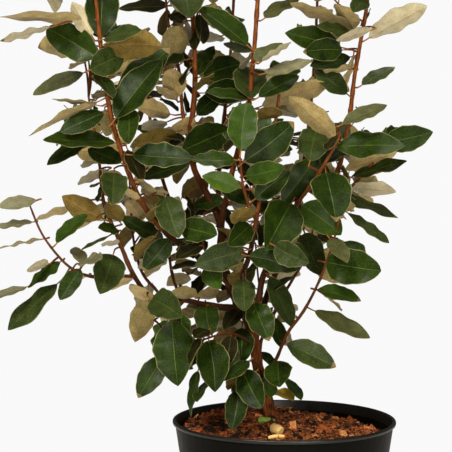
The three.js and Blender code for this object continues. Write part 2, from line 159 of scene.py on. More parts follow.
def tone(red: int, green: int, blue: int) -> Colour:
    """Gives the linear colour of a plain 8-bit one.

    Args:
        red: from 0 to 255, as are the others.
        green: the second channel.
        blue: the third.

    Returns:
        Linear red, green, blue and a full alpha.
    """

    def linear(value: int) -> float:
        """Undoes the display curve of one channel."""
        v = value / 255
        return v / 12.92 if v <= 0.04045 else ((v + 0.055) / 1.055) ** 2.4

    return linear(red), linear(green), linear(blue), 1.0


def round_about(sides: int) -> Array:
    """Gives the unit directions of a level ring."""
    turn = np.arange(sides) * 2 * math.pi / sides
    return np.stack([np.cos(turn), np.sin(turn), 0 * turn], -1)


def smooth_line(route: Array, samples: int) -> Array:
    """Draws a centripetal Catmull-Rom line through a row of points.

    Args:
        route: the points, one to a row.
        samples: points on each length between two of them.

    Returns:
        The points of the line.
    """
    ends = np.vstack([2 * route[0] - route[1], route, 2 * route[-1] - route[-2]])
    steps = np.linalg.norm(np.diff(ends, axis=0), axis=1) ** 0.5
    t = np.linspace(0, 1, samples, endpoint=False)[:, None]
    lengths = []
    for i in range(len(route) - 1):
        p0, p1, p2, p3 = ends[i : i + 4]
        d0, d1, d2 = steps[i : i + 3]
        out = ((p1 - p0) / d0 - (p2 - p0) / (d0 + d1) + (p2 - p1) / d1) * d1
        into = ((p2 - p1) / d1 - (p3 - p1) / (d1 + d2) + (p3 - p2) / d2) * d1
        square = -3 * p1 + 3 * p2 - 2 * out - into
        cube = 2 * p1 - 2 * p2 + out + into
        lengths.append(p1 + out * t + square * t**2 + cube * t**3)
    return np.vstack([*lengths, route[-1:]])


class SoftNoise:
    """Smooth repeatable noise on a plane, from -1 to 1, that closes on itself across."""

    def __init__(self, seed: int, size: int = 64) -> None:
        """Draws the noise's lattice, with so many points on each side."""
        self.size = size
        self.lattice = np.random.default_rng(seed).uniform(-1, 1, (size, size))

    def at(self, u: Array, v: Array, across: int = 0) -> Array:
        """Reads the noise.

        Args:
            u: places across, one lattice step to each whole number.
            v: places along.
            across: after how many steps u closes on itself, or 0 for the lattice's size.

        Returns:
            The noise at each place.
        """
        wrap = across or self.size
        u0, v0 = np.floor(u).astype(int), np.floor(v).astype(int)
        fu, fv = u - u0, v - v0
        fu, fv = fu * fu * (3 - 2 * fu), fv * fv * (3 - 2 * fv)

        def corner(i: int, j: int) -> Array:
            """Reads one corner of each lattice cell."""
            return self.lattice[((u0 + i) % wrap) % self.size, (v0 + j) % self.size]

        low = corner(0, 0) * (1 - fu) + corner(1, 0) * fu
        high = corner(0, 1) * (1 - fu) + corner(1, 1) * fu
        return low * (1 - fv) + high * fv


# Meshes


def to_scene(name: str, data: bpy.types.ID) -> Piece:
    """Sets an object with its data in the scene.

    Args:
        name: the object's name.
        data: its mesh, lamp or camera.

    Returns:
        The object.
    """
    piece = bpy.data.objects.new(name, data)
    bpy.context.scene.collection.objects.link(piece)
    return piece


class MeshArrays:
    """Points and faces of one piece, gathered as arrays before its mesh is made."""

    def __init__(self) -> None:
        """Starts with nothing."""
        self.points: list[Array] = []
        self.faces: dict[int, list[Array]] = {3: [], 4: []}
        self.finishes: dict[int, list[Array]] = {3: [], 4: []}
        self.count = 0

    def add(self, points: Array, faces: Sequence[Array], finish: int | Array = 0) -> None:
        """Adds a form.

        Args:
            points: its points in millimetres.
            faces: arrays of triangles or quads that number those points.
            finish: index of its finish, or one index for each face of the only array.
        """
        self.points.append(np.asarray(points, float).reshape(-1, 3))
        for block in faces:
            corners = block.shape[1]
            self.faces[corners].append(block + self.count)
            self.finishes[corners].append(np.broadcast_to(finish, len(block)))
        self.count += len(self.points[-1])

    def make(self, name: str, finishes: "Sequence[Finish]", crease: float) -> Piece:
        """Makes the piece in the scene, in metres.

        Args:
            name: the piece's name.
            finishes: its finishes, in the order of their indices.
            crease: angle in degrees from which an edge stays sharp.

        Returns:
            The new object.
        """
        mesh = bpy.data.meshes.new(name)
        points = np.vstack(self.points) * MM
        blocks = [np.vstack(self.faces[n]) for n in (3, 4) if self.faces[n]]
        indices = np.concatenate([f for n in (3, 4) for f in self.finishes[n]])
        totals = np.concatenate([np.full(len(b), b.shape[1]) for b in blocks])
        corners = np.concatenate([b.ravel() for b in blocks])
        mesh.vertices.add(len(points))
        mesh.vertices.foreach_set("co", points.ravel())
        mesh.loops.add(len(corners))
        mesh.loops.foreach_set("vertex_index", corners.astype(np.int32))
        mesh.polygons.add(len(totals))
        mesh.polygons.foreach_set("loop_start", (np.cumsum(totals) - totals).astype(np.int32))
        mesh.polygons.foreach_set("material_index", indices.astype(np.int32))
        mesh.polygons.foreach_set("use_smooth", np.ones(len(totals), bool))
        mesh.update(calc_edges=True)
        mesh.validate()
        mesh.set_sharp_from_angle(angle=math.radians(crease))
        for finish in finishes:
            mesh.materials.append(Paints.of(finish))
        return to_scene(name, mesh)


def ring_faces(rings: int, sides: int) -> Array:
    """Gives the quads between rings of points, each ring closed on itself.

    Args:
        rings: number of rings.
        sides: points in each.

    Returns:
        Quads that face outwards for rings that turn to the left about their heading.
    """
    ring = np.arange(rings - 1)[:, None] * sides
    here = np.arange(sides)[None, :]
    after = (here + 1) % sides
    quads = np.stack([ring + here, ring + after, ring + sides + after, ring + sides + here], -1)
    return quads.reshape(-1, 4)


def cap_faces(first: int, sides: int, middle: int, forward: bool) -> Array:
    """Gives the triangles that close one ring on a middle point.

    Args:
        first: number of the ring's first point.
        sides: points in the ring.
        middle: number of the middle point.
        forward: whether the cap looks along the heading.

    Returns:
        The triangles.
    """
    here = first + np.arange(sides)
    after = first + (np.arange(sides) + 1) % sides
    centre = np.full(sides, middle)
    return np.stack([here, after, centre] if forward else [after, here, centre], -1)


def tube(path: Array, radii: Array, sides: int, relief: Array | None = None) -> Form:
    """Makes a closed tube along a path.

    Args:
        path: points of its axis.
        radii: its radius at each of them.
        sides: points round it.
        relief: how far each point stands out of the radius, by path point and side.

    Returns:
        Its points, and its quads and end triangles.
    """
    heading = unit(np.gradient(path, axis=0))
    whole = np.abs(unit(path[-1] - path[0]))
    fixed = np.eye(3)[int(np.argmin(whole))]
    side = unit(np.cross(heading, fixed))
    back = np.cross(heading, side)
    turn = np.arange(sides) * 2 * math.pi / sides
    reach = np.broadcast_to(radii[:, None], (len(path), sides))
    if relief is not None:
        reach = reach + relief
    ring = side[:, None] * np.cos(turn)[None, :, None] + back[:, None] * np.sin(turn)[None, :, None]
    points = path[:, None] + ring * reach[..., None]
    last = len(path) * sides
    points = np.vstack([points.reshape(-1, 3), path[0], path[-1]])
    caps = [cap_faces(0, sides, last, False), cap_faces(last - sides, sides, last + 1, True)]
    return points, [ring_faces(len(path), sides), np.vstack(caps)]


# Finishes


class Tree:
    """A short way to add and join the nodes of one node tree."""

    def __init__(self, tree: NodeGroup) -> None:
        """Keeps the tree."""
        self.tree = tree

    def feed(self, socket: Socket, value: object) -> None:
        """Joins an input to another socket, or gives it a plain value.

        Args:
            socket: the input.
            value: a socket or a plain value.
        """
        if isinstance(value, Socket):
            self.tree.links.new(value, socket)
        else:
            socket.default_value = value

    def join(self, node: Node, *values: object) -> Node:
        """Feeds a node's first inputs in their order, and gives the node.

        Args:
            node: the node.
            values: sockets or plain values.

        Returns:
            The same node.
        """
        for socket, value in zip(node.inputs, values):
            self.feed(socket, value)
        return node

    def add(self, kind: str, settings: dict[str, object] | None = None, **inputs: object) -> Node:
        """Adds a node.

        Args:
            kind: Blender's name of the node, without its ShaderNode.
            settings: values of the node's own properties.
            inputs: by input name, with _ for a space: a value, or a socket to join.

        Returns:
            The node.
        """
        node = self.tree.nodes.new(f"ShaderNode{kind}")
        for key, value in (settings or {}).items():
            setattr(node, key, value)
        for key, value in inputs.items():
            self.feed(node.inputs[key.replace("_", " ")], value)
        return node

    def place(self, group: NodeGroup, **inputs: object) -> Node:
        """Sets a node group in the tree, with its own values."""
        return self.add("Group", {"node_tree": group}, **inputs)

    def math(self, operation: str, first: object, second: object) -> Socket:
        """Adds a sum or a product of two values."""
        return self.join(self.add("Math", {"operation": operation}), first, second).outputs[0]

    def blend(self, share: object, first: object, second: object) -> Socket:
        """Mixes two colours.

        Args:
            share: how much of the second shows, a number or a socket.
            first: a colour or a socket.
            second: a colour or a socket.

        Returns:
            The socket of the mixed colour.
        """
        node = self.add("Mix", {"data_type": "RGBA"})
        for number, value in ((0, share), (6, first), (7, second)):
            self.feed(node.inputs[number], value)
        return node.outputs[2]

    def remap(self, value: Socket, read: Pair, become: Pair = (0.0, 1.0)) -> Socket:
        """Maps a value from one range to another, held at its ends.

        Args:
            value: the value's socket.
            read: least and largest value read.
            become: what those two become.

        Returns:
            The socket of the mapped value.
        """
        node = self.add("MapRange", Value=value)
        for name, number in zip(("From Min", "From Max", "To Min", "To Max"), (*read, *become)):
            node.inputs[name].default_value = number
        return node.outputs[0]

    def dress(self, skin: Node, colour: Socket, rough: Socket, height: Socket,
              relief: Pair, gloss: float) -> None:
        """Joins what changes over a surface to its shader.

        Args:
            skin: the Principled BSDF.
            colour: the surface's colour.
            rough: its roughness.
            height: height of its relief.
            relief: strength and depth of that.
            gloss: level of its reflections.
        """
        bump = self.add("Bump", Strength=relief[0], Distance=relief[1], Height=height)
        for name, value in (("Base Color", colour), ("Roughness", rough), ("Normal", bump.outputs[0])):
            self.feed(skin.inputs[name], value)
        skin.inputs["Specular IOR Level"].default_value = gloss


class Effects:
    """Shader node groups that several finishes share, each built once."""

    built: dict[str, NodeGroup] = {}

    @classmethod
    def group(cls, name: str, inputs: dict[str, object], outputs: dict[str, str],
              fill: Callable[[Tree, Node, Node], None]) -> NodeGroup:
        """Gives a node group, made on its first use.

        Args:
            name: the group's name.
            inputs: default value of each input, by name.
            outputs: kind of each output, Color or Float, by name.
            fill: makes the nodes between the group's input and output node.

        Returns:
            The node group.
        """
        if name not in cls.built:
            tree = bpy.data.node_groups.new(name, "ShaderNodeTree")
            for key, value in inputs.items():
                kind = "Float" if isinstance(value, float) else "Color"
                socket = tree.interface.new_socket(name=key, in_out="INPUT", socket_type=f"NodeSocket{kind}")
                socket.default_value = value
            for key, kind in outputs.items():
                tree.interface.new_socket(name=key, in_out="OUTPUT", socket_type=f"NodeSocket{kind}")
            fill(Tree(tree), tree.nodes.new("NodeGroupInput"), tree.nodes.new("NodeGroupOutput"))
            cls.built[name] = tree
        return cls.built[name]

    @classmethod
    def mottle(cls) -> NodeGroup:
        """Gives soft blotches of a second colour over a first.

        Returns:
            The node group.
        """

        def fill(tree: Tree, ins: Node, outs: Node) -> None:
            """Makes the blotches from two sizes of noise.

            Args:
                tree: the group's nodes.
                ins: its input node.
                outs: its output node.
            """
            place = tree.add("TexCoord").outputs["Object"]
            wide = tree.add("TexNoise", Vector=place, Scale=ins.outputs["Scale"], Detail=4.0)
            grain = tree.add("TexNoise", Vector=place, Scale=620.0, Detail=2.0)
            mask = tree.remap(tree.math("ADD", wide.outputs[0], grain.outputs[0]), (0.82, 1.22))
            tree.join(outs, tree.blend(mask, ins.outputs["Colour"], ins.outputs["Blotch"]), mask)

        plain = (0.5, 0.5, 0.5, 1.0)
        return cls.group("Mottle", {"Colour": plain, "Blotch": plain, "Scale": 80.0},
                         {"Colour": "Color", "Mask": "Float"}, fill)

    @classmethod
    def scurf(cls) -> NodeGroup:
        """Gives the fine scales that powder leaves and young bark.

        Returns:
            The node group.
        """

        def fill(tree: Tree, ins: Node, outs: Node) -> None:
            """Makes small dots that come and go in larger patches.

            Args:
                tree: the group's nodes.
                ins: its input node.
                outs: its output node.
            """
            place = tree.add("TexCoord").outputs["Object"]
            dots = tree.add("TexVoronoi", Vector=place, Scale=ins.outputs["Scale"])
            near = tree.remap(dots.outputs[0], (0.14, 0.36), (1.0, 0.0))
            patch = tree.add("TexNoise", Vector=place, Scale=70.0, Detail=3.0)
            cover = tree.remap(patch.outputs[0], (0.35, 0.7), (0.25, 1.0))
            mask = tree.math("MULTIPLY", tree.math("MULTIPLY", near, cover), ins.outputs["Amount"])
            tree.join(outs, mask, near)

        return cls.group("Scurf", {"Scale": 900.0, "Amount": 0.5}, {"Mask": "Float", "Height": "Float"}, fill)

    @classmethod
    def fibre(cls) -> NodeGroup:
        """Gives streaks that run up and down, as in bark and coir.

        Returns:
            The node group.
        """

        def fill(tree: Tree, ins: Node, outs: Node) -> None:
            """Makes the streaks from noise that is drawn out upwards.

            Args:
                tree: the group's nodes.
                ins: its input node.
                outs: its output node.
            """
            place = tree.add("TexCoord").outputs["Object"]
            drawn = tree.add("Mapping", Vector=place, Scale=(1.0, 1.0, 0.16)).outputs[0]
            noise = tree.add("TexNoise", Vector=drawn, Scale=ins.outputs["Scale"], Detail=6.0, Roughness=0.65)
            tree.join(outs, tree.remap(noise.outputs[0], (0.34, 0.66)), noise.outputs[0])

        return cls.group("Fibre", {"Scale": 300.0}, {"Mask": "Float", "Height": "Float"}, fill)


def new_material(name: str) -> tuple[Material, Tree, Node]:
    """Starts a material.

    Args:
        name: its name.

    Returns:
        The material, its nodes, and its Principled BSDF.
    """
    material = bpy.data.materials.new(name)
    material.use_nodes = True
    nodes = material.node_tree.nodes
    return material, Tree(material.node_tree), next(n for n in nodes if n.type == "BSDF_PRINCIPLED")


@dataclass(frozen=True)
class LeafFinish:
    """Skin of a leaf: mottled colour under a powder of fine scales."""

    name: str
    colour: Colour
    blotch: Colour
    scales: Colour
    cover: float
    roughness: float
    gloss: float = 0.5
    sheen: float = 0.0
    relief: Pair = (0.45, 0.0004)

    def material(self) -> Material:
        """Makes the material.

        Returns:
            The new material.
        """
        material, tree, skin = new_material(self.name)
        mottle = tree.place(Effects.mottle(), Colour=self.colour, Blotch=self.blotch, Scale=85.0)
        scurf = tree.place(Effects.scurf(), Scale=620.0, Amount=self.cover)
        colour = tree.blend(scurf.outputs["Mask"], mottle.outputs["Colour"], self.scales)
        rough = tree.remap(mottle.outputs["Mask"], (0.0, 1.0), (self.roughness - 0.05, self.roughness + 0.08))
        tree.dress(skin, colour, rough, scurf.outputs["Height"], self.relief, self.gloss)
        skin.inputs["Sheen Weight"].default_value = self.sheen
        skin.inputs["Sheen Roughness"].default_value = 0.45
        return material


@dataclass(frozen=True)
class BarkFinish:
    """Bark: streaked, with painted shade graded by height under the crown, powdered with rusty scales where
    it is young.
    """

    name: str
    # low and high are painted shade: the colours at the two ends of heights, darker where the crown shades
    # the wood
    low: Colour
    high: Colour
    furrow: Colour
    scales: Colour
    cover: float
    heights: Pair
    grain: float
    roughness: float = 0.68
    relief: float = 0.6
    gloss: float = 0.2
    glint: Colour = (1.0, 0.5, 0.24, 1.0)

    def material(self) -> Material:
        """Makes the material.

        Returns:
            The new material.
        """
        material, tree, skin = new_material(self.name)
        height = tree.add("SeparateXYZ", Vector=tree.add("TexCoord").outputs["Object"]).outputs["Z"]
        fibre = tree.place(Effects.fibre(), Scale=self.grain)
        scurf = tree.place(Effects.scurf(), Scale=1300.0, Amount=self.cover)
        # painted shade: the colour is graded by height, darker where the crown shades the wood
        plain = tree.blend(tree.remap(height, self.heights), self.low, self.high)
        streaked = tree.blend(fibre.outputs["Mask"], self.furrow, plain)
        colour = tree.blend(scurf.outputs["Mask"], streaked, self.scales)
        rough = tree.remap(fibre.outputs["Mask"], (0.0, 1.0), (self.roughness + 0.15, self.roughness))
        tree.dress(skin, colour, rough, fibre.outputs["Height"], (self.relief, 0.0008), self.gloss)
        skin.inputs["Specular Tint"].default_value = self.glint
        return material


@dataclass(frozen=True)
class CrumbFinish:
    """Coir and bark crumbs: streaked and blotched, dull."""

    name: str
    colour: Colour
    blotch: Colour
    furrow: Colour
    roughness: float = 0.85
    gloss: float = 0.25
    relief: Pair = (0.7, 0.0008)

    def material(self) -> Material:
        """Makes the material.

        Returns:
            The new material.
        """
        material, tree, skin = new_material(self.name)
        mottle = tree.place(Effects.mottle(), Colour=self.colour, Blotch=self.blotch, Scale=160.0)
        fibre = tree.place(Effects.fibre(), Scale=700.0)
        colour = tree.blend(fibre.outputs["Mask"], self.furrow, mottle.outputs["Colour"])
        rough = tree.remap(mottle.outputs["Mask"], (0.0, 1.0), (self.roughness - 0.1, self.roughness + 0.1))
        tree.dress(skin, colour, rough, fibre.outputs["Height"], self.relief, self.gloss)
        return material


@dataclass(frozen=True)
class PlasticFinish:
    """Moulded satin plastic with a little dust."""

    name: str = "pot_plastic"
    colour: Colour = tone(7, 6, 5)
    blotch: Colour = tone(11, 9, 7)
    dust: Colour = tone(64, 52, 38)
    roughness: float = 0.42
    gloss: float = 0.04
    relief: Pair = (0.12, 0.0004)

    def material(self) -> Material:
        """Makes the material.

        Returns:
            The new material.
        """
        material, tree, skin = new_material(self.name)
        mottle = tree.place(Effects.mottle(), Colour=self.colour, Blotch=self.blotch, Scale=14.0)
        dust = tree.place(Effects.scurf(), Scale=420.0, Amount=0.1)
        fibre = tree.place(Effects.fibre(), Scale=260.0)
        colour = tree.blend(dust.outputs["Mask"], mottle.outputs["Colour"], self.dust)
        rough = tree.remap(fibre.outputs["Mask"], (0.0, 1.0), (self.roughness - 0.06, self.roughness + 0.1))
        tree.dress(skin, colour, rough, fibre.outputs["Height"], self.relief, self.gloss)
        return material


@dataclass(frozen=True)
class PaperFinish:
    """Pale matt sweep that the pot stands on, lit from below further out."""

    name: str = "studio_floor"
    colour: Colour = (0.8, 0.8, 0.8, 1.0)
    blotch: Colour = (0.76, 0.76, 0.76, 1.0)
    roughness: float = 0.9
    gloss: float = 0.1
    glow: float = 0.95
    glow_ring: Pair = (0.35, 0.9)  # metres from the pot's middle

    def material(self) -> Material:
        """Makes the material.

        Returns:
            The new material.
        """
        material, tree, skin = new_material(self.name)
        mottle = tree.place(Effects.mottle(), Colour=self.colour, Blotch=self.blotch, Scale=2.0)
        tree.feed(skin.inputs["Base Color"], mottle.outputs["Colour"])
        skin.inputs["Roughness"].default_value = self.roughness
        skin.inputs["Specular IOR Level"].default_value = self.gloss
        place = tree.add("TexCoord").outputs["Object"]
        away = tree.join(tree.add("VectorMath", {"operation": "LENGTH"}), place).outputs["Value"]
        seen = tree.add("LightPath").outputs["Is Camera Ray"]
        shine = tree.math("MULTIPLY", tree.remap(away, self.glow_ring), seen)
        glow = tree.add("Emission", Color=(1, 1, 1, 1), Strength=self.glow)
        mix = tree.join(tree.add("MixShader"), shine, skin.outputs[0], glow.outputs[0])
        out = next(n for n in material.node_tree.nodes if n.type == "OUTPUT_MATERIAL")
        tree.feed(out.inputs["Surface"], mix.outputs[0])
        return material


LIP_PLASTIC = PlasticFinish("pot_lip", tone(11, 9, 7), tone(22, 19, 15), roughness=0.34, gloss=0.3)
BLOOM = tone(112, 118, 76)
RUST = tone(160, 92, 42)
LEAF_FINISHES: dict[LeafTone, LeafFinish] = {
    LeafTone.DARK: LeafFinish("leaf_dark", tone(30, 46, 6), tone(14, 24, 3), BLOOM, 0.3, 0.36, 0.07),
    LeafTone.DEEP: LeafFinish("leaf_deep", tone(35, 53, 6), tone(20, 32, 4), BLOOM, 0.32, 0.36, 0.1),
    LeafTone.FRESH: LeafFinish("leaf_fresh", tone(44, 66, 8), tone(28, 45, 5), BLOOM, 0.22, 0.34, 0.16),
    LeafTone.FROSTED: LeafFinish("leaf_frosted", tone(47, 59, 22), tone(30, 40, 12), BLOOM, 0.55, 0.44, 0.12),
    LeafTone.YOUNG: LeafFinish("leaf_young", tone(66, 92, 14), tone(52, 75, 11), BLOOM, 0.22, 0.38, 0.15),
    LeafTone.YELLOWED: LeafFinish(
        "leaf_yellowed", tone(210, 178, 58), tone(168, 152, 52), BLOOM, 0.1, 0.45, 0.2),
    LeafTone.GOLD_BACK: LeafFinish(
        "leaf_back_gold", tone(182, 159, 106), tone(146, 122, 73), tone(206, 192, 158), 0.55, 0.62, 0.2, 0.1),
    LeafTone.SILVER_BACK: LeafFinish(
        "leaf_back_silver", tone(184, 171, 140), tone(152, 140, 108), tone(204, 194, 168),
        0.55, 0.6, 0.2, 0.1),
    LeafTone.OLIVE_BACK: LeafFinish(
        "leaf_back_olive", tone(156, 138, 88), tone(118, 101, 57), tone(188, 174, 134), 0.5, 0.62, 0.2, 0.1),
    LeafTone.RIB: LeafFinish("leaf_rib", tone(78, 90, 34), tone(60, 74, 26), BLOOM, 0.15, 0.5, 0.2),
    LeafTone.BACK_RIB: LeafFinish(
        "leaf_back_rib", tone(150, 108, 60), tone(128, 88, 46), RUST, 0.4, 0.6, 0.25),
    LeafTone.MARGIN: LeafFinish("leaf_margin", tone(116, 110, 68), tone(86, 86, 46), BLOOM, 0.2, 0.6, 0.2),
    LeafTone.SILVERED: LeafFinish(
        "leaf_silvered", tone(114, 109, 84), tone(86, 84, 58), tone(150, 146, 120), 0.5, 0.5, 0.15),
    LeafTone.SHADED: LeafFinish("leaf_shaded", tone(32, 28, 8), tone(18, 15, 4), BLOOM, 0.12, 0.5, 0.06),
    LeafTone.SHADED_BACK: LeafFinish(
        "leaf_back_shaded", tone(112, 93, 42), tone(84, 66, 26), tone(146, 126, 74), 0.35, 0.62, 0.12),
    LeafTone.DUSTY: LeafFinish(
        "leaf_dusty", tone(75, 77, 44), tone(56, 58, 30), tone(130, 130, 101), 0.55, 0.46, 0.1),
    LeafTone.BROWNED: LeafFinish("leaf_browned", tone(112, 92, 54), tone(92, 76, 42), BLOOM, 0.2, 0.65, 0.25),
}
# each bark's low and high colours are painted shade, graded by height under the crown
OLD_BARK = BarkFinish(
    "bark_old", tone(122, 66, 32), tone(90, 46, 21), tone(38, 18, 8), tone(152, 99, 58), 0.25,
    (0.25, 0.36), 420.0, 0.8, 0.9)
BOUGH_BARK = BarkFinish(
    "bark_bough", tone(46, 21, 9), tone(122, 62, 27), tone(28, 12, 5), RUST, 0.26,
    (0.47, 0.64), 520.0, 0.5, 0.6, 0.3)
STEM_BARK = BarkFinish(
    "bark_stem", tone(74, 37, 15), tone(132, 69, 29), tone(50, 23, 9), RUST, 0.3,
    (0.42, 0.62), 700.0, 0.42, 0.6, 0.35)
STALK_BARK = BarkFinish(
    "bark_stalk", tone(122, 88, 44), tone(150, 98, 52), tone(108, 68, 34), RUST, 0.3, (0.36, 0.7), 900.0, 0.6)
CRUMB_FINISHES: dict[CrumbTone, CrumbFinish] = {
    CrumbTone.PEAT: CrumbFinish("peat", tone(48, 24, 11), tone(26, 13, 6), tone(12, 6, 3)),
    CrumbTone.RUST: CrumbFinish("coir_rust", tone(186, 100, 46), tone(150, 74, 32), tone(84, 38, 16)),
    CrumbTone.UMBER: CrumbFinish("coir_umber", tone(126, 70, 32), tone(92, 46, 20), tone(48, 23, 10)),
    CrumbTone.TAN: CrumbFinish("coir_tan", tone(226, 160, 98), tone(200, 126, 70), tone(132, 74, 36)),
    CrumbTone.GREEN: CrumbFinish("cut_green", tone(146, 176, 84), tone(120, 152, 64), tone(96, 124, 50), 0.5),
    CrumbTone.PALE: CrumbFinish(
        "cut_pale", tone(255, 222, 152), tone(240, 196, 120), tone(226, 176, 102), 0.6),
}
CRUMBS = [CRUMB_FINISHES[name] for name in CrumbTone]
Finish = LeafFinish | BarkFinish | CrumbFinish | PlasticFinish | PaperFinish


class Paints:
    """The materials of the finishes, each made on its first use."""

    made: dict[str, Material] = {}

    @classmethod
    def of(cls, finish: Finish) -> Material:
        """Gives a finish's material.

        Args:
            finish: the finish.

        Returns:
            The material.
        """
        if finish.name not in cls.made:
            cls.made[finish.name] = finish.material()
        return cls.made[finish.name]


def set_out(piece: Piece, slot: Slot, *nodes: str) -> None:
    """Hands a finished piece to the frame.

    Args:
        piece: the object.
        slot: the record's slot that its finish belongs to; not used.
        nodes: the solids that it stands for.
    """
    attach(piece, BODY)
    if nodes:
        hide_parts(*nodes)
    LOG.info("%s: %d faces", piece.name, len(piece.data.polygons))


# Growth


@dataclass
class Limb:
    """A curved, tapering limb."""

    route: Sequence[Point]
    thick: Pair
    flare: float = 0.0
    flare_height: float = 1.0
    samples: int = 40
    line: Array = field(init=False)
    runs: Array = field(init=False)

    def __post_init__(self) -> None:
        """Draws the limb's axis."""
        self.line = smooth_line(np.asarray(self.route, float), self.samples)
        self.runs = np.concatenate([[0], np.cumsum(np.linalg.norm(np.diff(self.line, axis=0), axis=1))])

    @property
    def length(self) -> float:
        """Length along the axis."""
        return float(self.runs[-1])

    def point(self, run: float | Array) -> Array:
        """Gives the axis point, or points, at a run from the foot."""
        return np.stack([np.interp(run, self.runs, self.line[:, k]) for k in range(3)], -1)

    def heading(self, run: float) -> Array:
        """Gives the direction of the axis at a run."""
        step = 0.002 * self.length
        return unit(self.point(min(run + step, self.length)) - self.point(max(run - step, 0.0)))

    def radius(self, run: float | Array) -> Array:
        """Gives the radius at a run, or at several.

        Args:
            run: a run from the foot, or several.

        Returns:
            The radius at each.
        """
        share = np.clip(np.asarray(run) / self.length, 0, 1)
        taper = self.thick[0] + (self.thick[1] - self.thick[0]) * share
        return 0.5 * (taper + self.flare * np.exp(-3 * np.maximum(run, 0) / self.flare_height))

    def axis(self, start: float, end: float, step: float = 7.0) -> Axis:
        """Gives axis points and their radii from one run to another, at most a step apart."""
        runs = np.linspace(start, end, max(2, math.ceil((end - start) / step)) + 1)
        return self.point(runs), self.radius(runs)

    def bud(self, run: float, turn: float, keys: Keys, spray: int) -> "Bud":
        """Gives a bud on the limb."""
        return Bud(self.point(run), self.heading(run), turn, keys, spray)


class Twig(Limb):
    """A side twig: two straight lengths that meet at a node."""

    def point(self, run: float | Array) -> Array:
        """Gives the axis point, or points, at a run from the foot."""
        share = np.clip(np.asarray(run) / self.length, 0, 1)
        return np.stack([np.interp(share, [0, 0.5, 1], np.asarray(self.route)[:, k]) for k in range(3)], -1)

    def heading(self, run: float) -> Array:
        """Gives the direction of the length that a run lies on."""
        half = 0 if run < 0.5 * self.length else 1
        return unit(np.asarray(self.route[half + 1]) - np.asarray(self.route[half]))


@dataclass(frozen=True)
class GrowthRule:
    """How leaves and twigs stand on a stem."""

    level: float = 0.62  # a stem less steep than this has its leaves in two ranks
    axis: Pair = (-60.0, 20.0)  # the crown's middle, which leaves face away from
    facing: Pair = (0.45, 1.6)
    last_leaf: float = 4.0
    short_twig: float = 34.0
    twig_spacing: float = 21.0
    twig_leafy: float = 0.72  # share of a twig that bears leaves
    twig_thick: Pair = (2.7, 1.7)
    twig_rise: Pair = (0.35, 0.8)
    twig_lift: float = 0.3
    twig_draw: Pair = (0.65, 0.6)  # here and below: least share, and what chance adds
    twig_leaf: Pair = (0.8, 0.35)
    tip_leaf: float = 0.92
    stem_leaf: Pair = (0.85, 0.35)
    top_leaf: float = 0.72
    top: float = 0.9  # from here on a stem's leaves are small
    top_full: float = 0.3
    leaf_rise: Pair = (0.2, 0.75)
    leaf_apart: float = 8.5
    shared: float = 28.0
    limb_apart: float = 3.0
    hang_low: float = 300.0
    hang_high: float = 680.0
    hang: float = 0.95
    lowest: float = 241.0
    over_reach: float = 6.0
    leaf_width: float = 0.5
    upright: float = 0.05  # least level part of a heading that has sides
    hang_draw: float = 0.5
    face_up: float = 0.6
    face_out: float = 0.8
    face_draw: float = 1.5
    tries: Row = (0, 0.6, -0.6, 1.2, -1.2, 2, -2)
    samples: tuple[Pair, ...] = (
        (0.25, 0), (0.4, 0), (0.55, 0), (0.7, 0), (0.85, 0), (1, 0), (0.32, 0.42), (0.32, -0.42),
        (0.48, 0.45), (0.48, -0.45), (0.64, 0.4), (0.64, -0.4), (0.8, 0.28), (0.8, -0.28))


@dataclass(frozen=True)
class FineRule:
    """How the finer twigs fill in between."""

    spacing: float = 15.0
    twiggy: float = 0.4
    twig: Pair = (20.0, 44.0)
    twig_thick: Pair = (1.7, 1.1)
    leaf: Pair = (0.58, 0.92)
    twig_leaf: Pair = (0.5, 0.78)
    leaf_apart: float = 6.0
    leafy: Row = (0.95, 0.7, 0.45)  # where the leaves of a fine twig stand on it
    turn: float = 2.4
    first_draw: int = 50


RULE = GrowthRule()
FINE = FineRule()


@dataclass
class Leaf:
    """Where one leaf lies, and what it is like."""

    root: Array
    along: Array
    face: Array
    length: float
    width: float
    keys: Keys
    spray: int
    shows: LeafTone | None = None  # for a leaf that is set by the picture
    carrier: Array | None = None  # point on the stem that a set leaf hangs on
    open: float = 1.0  # how much of a set leaf's breadth is seen

    @property
    def side(self) -> Array:
        """Direction across the blade."""
        return np.cross(self.along, self.face)

    def samples(self) -> Array:
        """Gives the points by which the leaf's space is judged.

        Returns:
            The points.
        """
        places = np.array(RULE.samples)
        return (self.root + np.outer(places[:, 0] * self.length, self.along)
                + np.outer(places[:, 1] * self.width, self.side))


def turned(vector: Array, axis: Array, angle: float) -> Array:
    """Turns a vector that is square to an axis about it."""
    return vector * math.cos(angle) + np.cross(axis, vector) * math.sin(angle)


